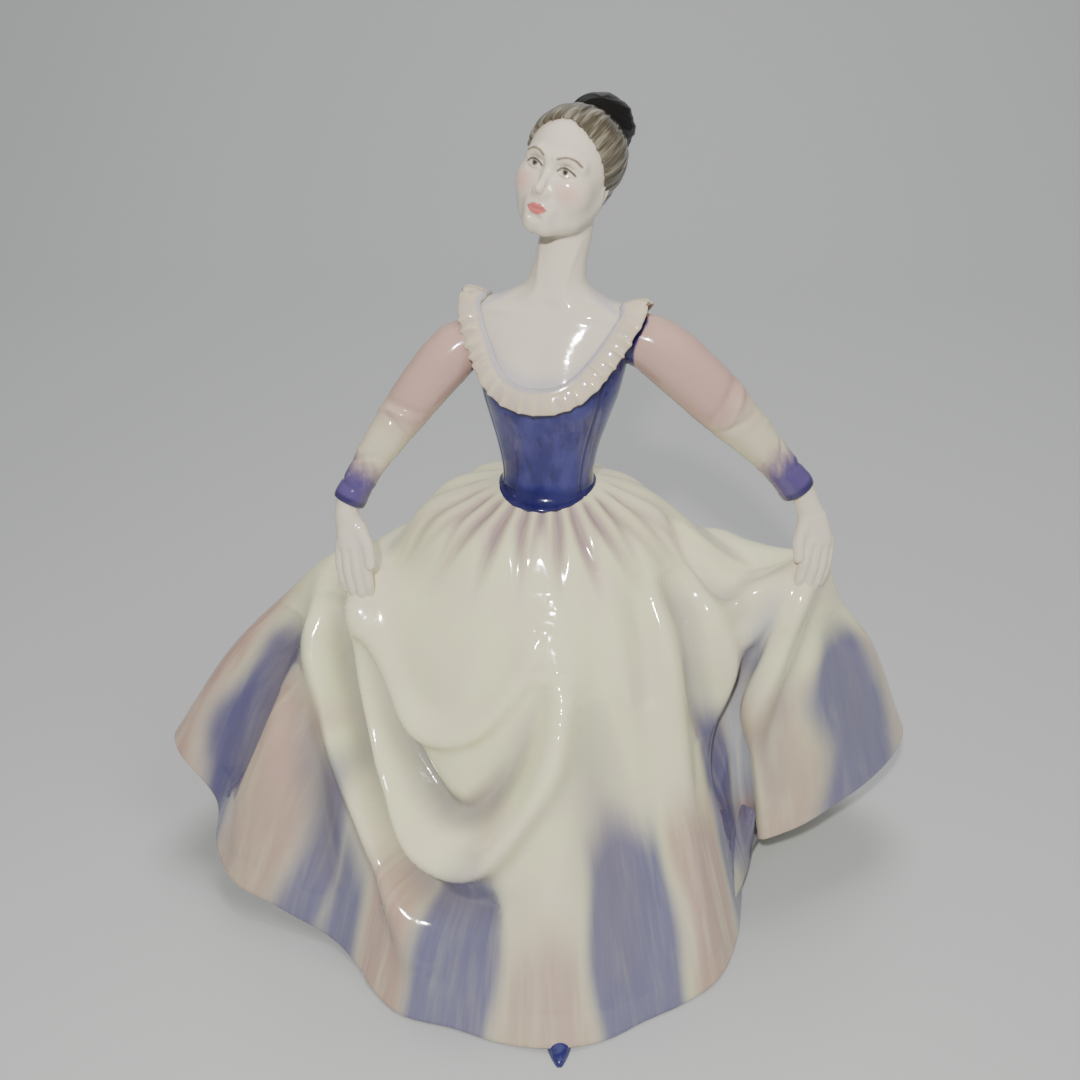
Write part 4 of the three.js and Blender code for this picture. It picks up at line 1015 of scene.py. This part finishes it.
def head_shape(q):
    p = mirrored(q)
    d = skull(p)
    d = join(d, rope(p, (0.9, -8.9, 1.7, 0.8), (3.3, -8.6, 2.2, 0.8), (5.6, -6.9, 1.6, 0.7)), 1.6)
    d = carve(d, ellipsoid(p, (3.3, -9.9, 0), (2.1, 1.5, 1.3)), 1.3)
    d = join(d, ellipsoid(p, (3.35, -7.1, -0.05), (1.75, 1.75, 1.6)), 0.2)
    d = join(d, rope(p, (1.75, -8.55, -0.2, 0.2), (2.4, -8.95, 0.5, 0.3), (3.35, -9.05, 0.75, 0.32),
                     (4.35, -8.65, 0.5, 0.28), (5.05, -7.8, -0.1, 0.2)), 0.28)
    d = join(d, rope(p, (1.75, -8.55, -0.25, 0.14), (2.6, -8.8, -0.75, 0.18), (3.5, -8.8, -0.85, 0.2),
                     (4.4, -8.4, -0.65, 0.18), (5.05, -7.8, -0.15, 0.14)), 0.35)
    nose = rope(p, (0, -8.6, 1.3, 0.6), (0, -9.4, -1.2, 0.62), (0, -10.5, -3.6, 0.8), (0, -10.8, -4.2, 0.9))
    nose = join(nose, rope(p, (0, -9.6, -4.9, 0.8), (0.98, -9.7, -4.7, 0.66)), 0.6)
    d = join(d, nose, 1.1)
    d = carve(d, rope(p, (0.5, -10.4, -5.75, 0.2), (0.75, -10.1, -5.75, 0.22)), 0.25)
    d = join(d, ellipsoid(p, (0, -8.3, -7.7), (2.7, 1.2, 2)), 2.2)
    d = carve(d, rope(p, (0, -9.95, -6.2, 0.12), (0, -9.9, -6.9, 0.2)), 0.4)
    lips = rope(p, (0.3, -9.35, -7.2, 0.42), (0.9, -9.3, -7.2, 0.42), (2.05, -8.5, -7.65, 0.16))
    lower = rope(p, (0, -9.2, -8.35, 0.52), (0.8, -9.1, -8.3, 0.46), (1.9, -8.45, -7.85, 0.16))
    lips = join(lips, lower, 0.1)
    d = join(d, lips, 0.3)
    d = carve(d, rope(p, (0, -9.85, -7.72, 0.1), (1, -9.65, -7.68, 0.1), (2.2, -8.75, -7.72, 0.1)), 0.22)
    d = carve(d, ellipsoid(p, (0, -9.5, -9.5), (1.3, 0.7, 0.5)), 0.8)
    ear = ellipsoid(p, (7.9, 1.2, -1.2), (0.85, 1.7, 2.8))
    ear = join(ear, rope(p, (7.7, 0.5, -3.4, 0.75), (7.7, 0.5, -3.7, 0.7)), 0.6)
    ear = carve(ear, ellipsoid(p, (8.8, 0.9, -0.9), (0.6, 0.9, 1.6)), 0.35)
    d = join(d, ear, 0.6)
    neck = to_head([[4.5, 0.6, 181], [4.1, 0.5, 176], [3.5, 0.3, 172.5], [2.9, 0.15, 169.5]])
    return join(d, rope(q, *[(*at, r) for at, r in zip(neck, (5.2, 5.3, 5.25, 4.8))]), 1.8)


def face_paint(tree):
    colour = skin_paint(tree)
    paints = {"blush": BLUSH, "brow": BROWN, "lips": LIP, "iris": IRIS, "dark": EYE_LINE}
    for name, paint in paints.items():
        colour = mix_colour(tree, attribute(tree, name), colour, paint)
    return colour


def painted(points, line, half_width, soft):
    """How much paint each point has from a brush line [x, z] drawn on the face from in front."""
    flat = points[:, [0, 2]][:, None]
    line = curve(np.asarray(line, float)[:, [0, 0, 1]], 60)[:, [0, 2]][None]
    gap = np.linalg.norm(flat - line, axis=-1).min(1)
    return 1 - smooth(half_width * 0.5, half_width + soft, gap)


def build_head():
    points, quads, normals = sculpt(head_shape, (-10, -13.5, -20), (10, 13.5, 13.5), 0.22)
    front = smooth(0.1, 0.5, -normals[:, 1])
    folded = mirrored(points)
    x, z = folded[:, 0], folded[:, 2]
    brow = painted(folded, [[1.5, 1.8], [3, 2.5], [4.6, 2.5], [5.9, 1.8]], 0.12, 0.26)
    lash = painted(folded, [[1.7, -0.15], [2.5, 0.5], [3.4, 0.72], [4.4, 0.45], [5.2, -0.1]], 0.14, 0.2)
    lower = painted(folded, [[2.4, -0.75], [3.4, -0.88], [4.6, -0.6]], 0.06, 0.14)
    crease = painted(folded, [[2, 0.8], [3.3, 1.3], [4.7, 1]], 0.07, 0.2)
    # The upper lip's bow and the lower lip's curve, as edges above and below the mouth's line.
    top_edge = np.interp(x, [0, 0.55, 1.3, 2.15], [-7.0, -6.8, -7.12, -7.7])
    low_edge = np.interp(x, [0, 0.8, 1.6, 2.15], [-8.9, -8.82, -8.35, -7.7])
    lips = smooth(-0.12, 0.1, top_edge - z) * smooth(-0.12, 0.1, z - low_edge) * (1 - smooth(2.05, 2.25, x))
    eye = np.hypot(x - 3.35, z + 0.02)
    iris = (1 - smooth(0.5, 0.68, eye)) * (1 - smooth(0.5, 0.65, z))
    pupil = 1 - smooth(0.2, 0.4, eye)
    parting = painted(folded, [[0, -7.72], [1.1, -7.68], [2.2, -7.75]], 0.05, 0.16)
    cheek = np.exp(-(((x - 4.9) / 2.1) ** 2) - ((z + 3.6) / 1.9) ** 2)
    blush = 0.5 * cheek + 0.12 * np.exp(-((x / 1.2) ** 2) - ((z + 4.5) / 1) ** 2)
    dark = np.clip(0.95 * lash + 0.4 * lower + pupil + 0.4 * parting, 0, 1)
    make_piece("head", from_head(points), quads, "skin_glaze",
               glaze("painted_face", face_paint, roughness=0.08, wave=0.01, sink=0.08), ["head"],
               shade=0 * x, blush=blush * front, brow=(0.9 * brow + 0.4 * crease) * front,
               lips=0.85 * lips * front, iris=iris * front, dark=dark * front)


# ---------------------------------------------------------------- hair
def comb(points):
    """Angle round the way to the bun, and share of the way to it: strands run along lines of one angle."""
    axis = unit(BUN - np.array(HAIR["centre"]))
    side = np.array([1.0, 0, 0])
    across = np.cross(axis, side)
    local = points - np.array(HAIR["centre"])
    angle = np.arctan2(local @ across, local @ side)
    return angle, (unit(local) @ axis)


def hair_shape(p):
    q = mirrored(p)
    hair = ellipsoid(q, HAIR["centre"], HAIR["radii"])
    hair = join(hair, ellipsoid(q, (0, 7, -2.6), (6.4, 5.2, 5.6)), 2.5)
    # The hairline: up over the forehead, down in front of the ears and low on the nape.
    x, y, z = q[..., 0], q[..., 1], q[..., 2]
    line = 9.3 - 0.045 * x * x - 0.95 * (y + 7) * smooth(-8, 2, y) - 0.2 * x
    line = np.maximum(line, -7 + 0 * z)
    return -join(-hair, 0.75 * (z - line), 0.7)


def hair_paint(tree):
    strands = attribute(tree, "comb", vector=True)
    wide = noise(tree, strands, 1.0, detail=2, rough=0.5, stretch=(1.6, 0.5, 1))
    thin = noise(tree, strands, 1.0, detail=2, rough=0.55, stretch=(6, 0.6, 1))
    colour = mix_colour(tree, ramp(tree, wide, 0.3, 0.58), HAIR_LIGHT, HAIR_MID)
    streak = maths(tree, "MULTIPLY", ramp(tree, thin, 0.38, 0.58), attribute(tree, "depth"))
    colour = mix_colour(tree, streak, colour, HAIR_DARK)
    return mix_colour(tree, attribute(tree, "edge"), colour, HAIR_RIM)


def build_hair():
    points, quads, normals = sculpt(hair_shape, (-11.5, -11, -11), (11.5, 15.5, 15), 0.24)
    angle, toward = comb(points)
    fade = 1 - smooth(0.72, 0.93, toward)
    wander = 0.35 * np.sin(3 * toward + 2 * angle)
    groove = 0.09 * np.sin(23 * angle + wander * 3) + 0.07 * np.sin(41 * angle - 2 * wander)
    groove += 0.05 * np.sin(67 * angle)
    points = points + normals * (groove * fade)[:, None]
    bun_gap = np.linalg.norm((points - BUN) / BUN_EDGE, axis=1)
    edge = 0.8 * (1 - smooth(1.05, 1.18, bun_gap))
    strands = np.stack([angle * 6, toward * 2.2, 0 * angle], -1)
    depth = 0.45 + 0.55 * smooth(-0.5, 0.7, toward)
    make_piece("hair_cap", from_head(points), quads, "hair_glaze",
               glaze("painted_hair", hair_paint, roughness=0.14), ["hair_cap"], comb=strands, edge=edge,
               depth=depth)


def bun_paint(tree):
    strands = attribute(tree, "comb", vector=True)
    thin = noise(tree, strands, 1.0, detail=3, rough=0.7, stretch=(9, 0.6, 1))
    return mix_colour(tree, ramp(tree, thin, 0.5, 0.85), BUN_DARK, BUN_BROWN)


def build_bun():
    rows, columns = 110, 160
    polar_angle = np.linspace(0.02, np.pi - 0.02, rows)[:, None]
    turn = circle(columns)[None]
    coil = turn * 5 + 2.6 * np.cos(polar_angle) * 3
    swell = 0.16 * np.sin(coil) + 0.08 * np.sin(2.7 * coil + 1) * np.sin(polar_angle)
    fine = 0.05 * np.sin(9 * coil + polar_angle * 4)
    r = 1 + (swell + fine) * np.sin(polar_angle) / BUN_MEAN
    girth = r * np.sin(polar_angle)
    a, b, c = BUN_RADII
    high = c * r * np.cos(polar_angle) + 0 * turn
    ball = np.stack([a * girth * np.cos(turn), b * girth * np.sin(turn), high], -1)
    tilt = np.array(Matrix.Rotation(rad(40), 3, "X"))
    strands = np.stack(np.broadcast_arrays(coil * 0.5, polar_angle * 3, 0 * turn), -1).reshape(-1, 3)
    every, faces = capped(ball @ tilt.T + BUN, turned=True)
    make_piece("hair_bun", from_head(every), faces, "bun_glaze",
               glaze("painted_bun", bun_paint, roughness=0.1, coat=0), ["hair_bun"],
               comb=np.vstack([strands, strands[:1], strands[-1:]]))


# ---------------------------------------------------------------- shoe and base plate
SHOE = {"x": 2.5, "y": -70, "half_width": 3.7, "length": 8.4, "height": 2.9}


def shoe_paint(tree):
    brush = noise(tree, None, 600, detail=3, rough=0.6)
    return mix_colour(tree, ramp(tree, brush, 0.3, 0.7), VIOLET, SHOE_BLUE)


def build_shoe():
    rows, columns = 50, 96
    share = np.linspace(0.02, 0.98, rows)[:, None]
    turn = circle(columns)[None]
    girth = np.sin(np.pi * share) ** 0.62
    narrow = 1 - 0.28 * (1 - share) ** 2
    welt = 1 + 0.06 * np.exp(-((np.sin(turn) + 0.82) / 0.12) ** 2)
    x = SHOE["x"] + SHOE["half_width"] * girth * narrow * np.cos(turn) * welt
    y = SHOE["y"] - SHOE["length"] + 2 * SHOE["length"] * share + 0 * turn
    z = SHOE["height"] * girth * np.maximum(np.sin(turn), -0.02) * (1 + 0.12 * np.cos(np.pi * share)) + 0.05
    every, faces = capped(np.stack(np.broadcast_arrays(x, y, np.maximum(z, 0.02)), -1), turned=True)
    make_piece("shoe", every, faces, "shoe_glaze", glaze("painted_shoe", shoe_paint), ["shoe"])


PLATE = {"half_width": 50.6, "half_depth": 54.6, "vent_radius": 4.6, "vent_x": 16, "vent_y": 9}
# The plate's cross-section, as [share of the way from the vent hole to the rim, height].
PLATE_SECTION = arr(
    [0, 0.6], [0.004, 0.25], [0.012, 0.08], [0.2, 0.05], [0.4, 0.05], [0.6, 0.05], [0.8, 0.05],
    [0.985, 0.08], [0.995, 0.25], [1, 0.6], [1, 1.7], [0.995, 2.1], [0.985, 2.3], [0.7, 2.3],
    [0.4, 2.3], [0.1, 2.3], [0.012, 2.3], [0.004, 2.1], [0, 1.7],
)


def bisque_paint(tree):
    grain = noise(tree, None, 700, detail=4, rough=0.7)
    return mix_colour(tree, ramp(tree, grain, 0.3, 0.8), BISQUE, BISQUE_DARK)


def build_base_plate():
    columns = 160
    turn = circle(columns)
    rim = np.stack([PLATE["half_width"] * np.cos(turn), PLATE["half_depth"] * np.sin(turn)], -1)
    vent = np.stack([PLATE["vent_x"] + PLATE["vent_radius"] * np.cos(turn),
                     PLATE["vent_y"] + PLATE["vent_radius"] * np.sin(turn)], -1)
    share, height = PLATE_SECTION[:, :1, None], PLATE_SECTION[:, 1:, None]
    flat = vent[None] * (1 - share) + rim[None] * share
    # The cast clay is not dead flat.
    wave = 0.04 * np.sin(flat[..., :1] * 0.21) * np.cos(flat[..., 1:] * 0.17)
    grid = np.concatenate([flat, height + np.where((height > 0.2) & (share > 0.02), wave, 0)], -1)
    make_piece("base_plate", grid.reshape(-1, 3), torus_faces(len(PLATE_SECTION), columns), "biscuit",
               glaze("bare_biscuit", bisque_paint, roughness=0.6, wave=0.08, coat=0), ["base_plate"])


# ---------------------------------------------------------------- floor, light and camera
def plain(name, colour, roughness):
    material = bpy.data.materials.new(name)
    material.use_nodes = True
    shader = material.node_tree.nodes["Principled BSDF"]
    shader.inputs["Base Color"].default_value = (*colour, 1)
    shader.inputs["Roughness"].default_value = roughness
    return material


def build_stage():
    """A pale floor that sweeps up into a backdrop behind the figurine."""
    width, near, far, bend, top = 5.0, -2.4, 1.1, 0.5, 2.4
    profile = [(near, 0.0), (far - bend, 0.0)]
    for turn in range(6, 91, 6):
        profile.append((far - bend + bend * math.sin(rad(turn)), bend - bend * math.cos(rad(turn))))
    profile.append((far, top))
    points = [(side * width / 2, y, z) for y, z in profile for side in (-1, 1)]
    faces = [(2 * i, 2 * i + 1, 2 * i + 3, 2 * i + 2) for i in range(len(profile) - 1)]
    mesh = bpy.data.meshes.new("floor")
    mesh.from_pydata(points, [], faces)
    mesh.shade_smooth()
    mesh.materials.append(plain("pale_floor", (0.47, 0.48, 0.475), 0.6))
    floor = bpy.data.objects.new("floor", mesh)
    bpy.context.scene.collection.objects.link(floor)


def add_light(name, place, target, size, power, colour, glints=True):
    data = bpy.data.lights.new(name, "AREA")
    data.shape = "DISK"
    data.size = size
    data.energy = power
    data.color = colour
    light = bpy.data.objects.new(name, data)
    light.location = place
    light.visible_glossy = glints
    light.visible_camera = False
    light.rotation_euler = (Vector(target) - Vector(place)).to_track_quat("-Z", "Y").to_euler()
    bpy.context.scene.collection.objects.link(light)


def build_lights():
    """A small flash beside the camera for the glints, soft light without any, and light on the backdrop."""
    middle = (0, 0, 0.1)
    add_light("flash", (-0.035, -0.31, 0.33), (0, 0, 0.11), 0.018, 1.5, (1, 0.985, 0.96))
    add_light("soft_key", (0.5, -0.4, 0.85), middle, 0.5, 2.6, (1, 0.99, 0.97), glints=False)
    add_light("backdrop_glow", (0.1, 0.5, 1.5), (0, 1.0, 0.1), 0.8, 15, (1, 1, 1), glints=False)
    world = bpy.data.worlds.new("studio")
    world.use_nodes = True
    world.node_tree.nodes["Background"].inputs["Color"].default_value = (0.86, 0.88, 0.9, 1)
    world.node_tree.nodes["Background"].inputs["Strength"].default_value = 0.3
    bpy.context.scene.world = world


def build_camera():
    place, looking_down = (-0.002, -0.242, 0.226), 28
    data = bpy.data.cameras.new("camera")
    data.lens = 36
    data.sensor_width = 36
    data.clip_start = 0.01
    camera = bpy.data.objects.new("camera", data)
    camera.location = place
    camera.rotation_euler = (rad(90 - looking_down), 0, 0)
    bpy.context.scene.collection.objects.link(camera)
    bpy.context.scene.camera = camera


SKIN_GLAZE = glaze("skin_glaze_paint", skin_paint, roughness=0.08, sink=0.08)
build_skirt()
build_bodice()
build_chest()
build_frill()
build_sleeves()
build_hands()
build_head()
build_hair()
build_bun()
build_shoe()
build_base_plate()
build_stage()
build_lights()
build_camera()
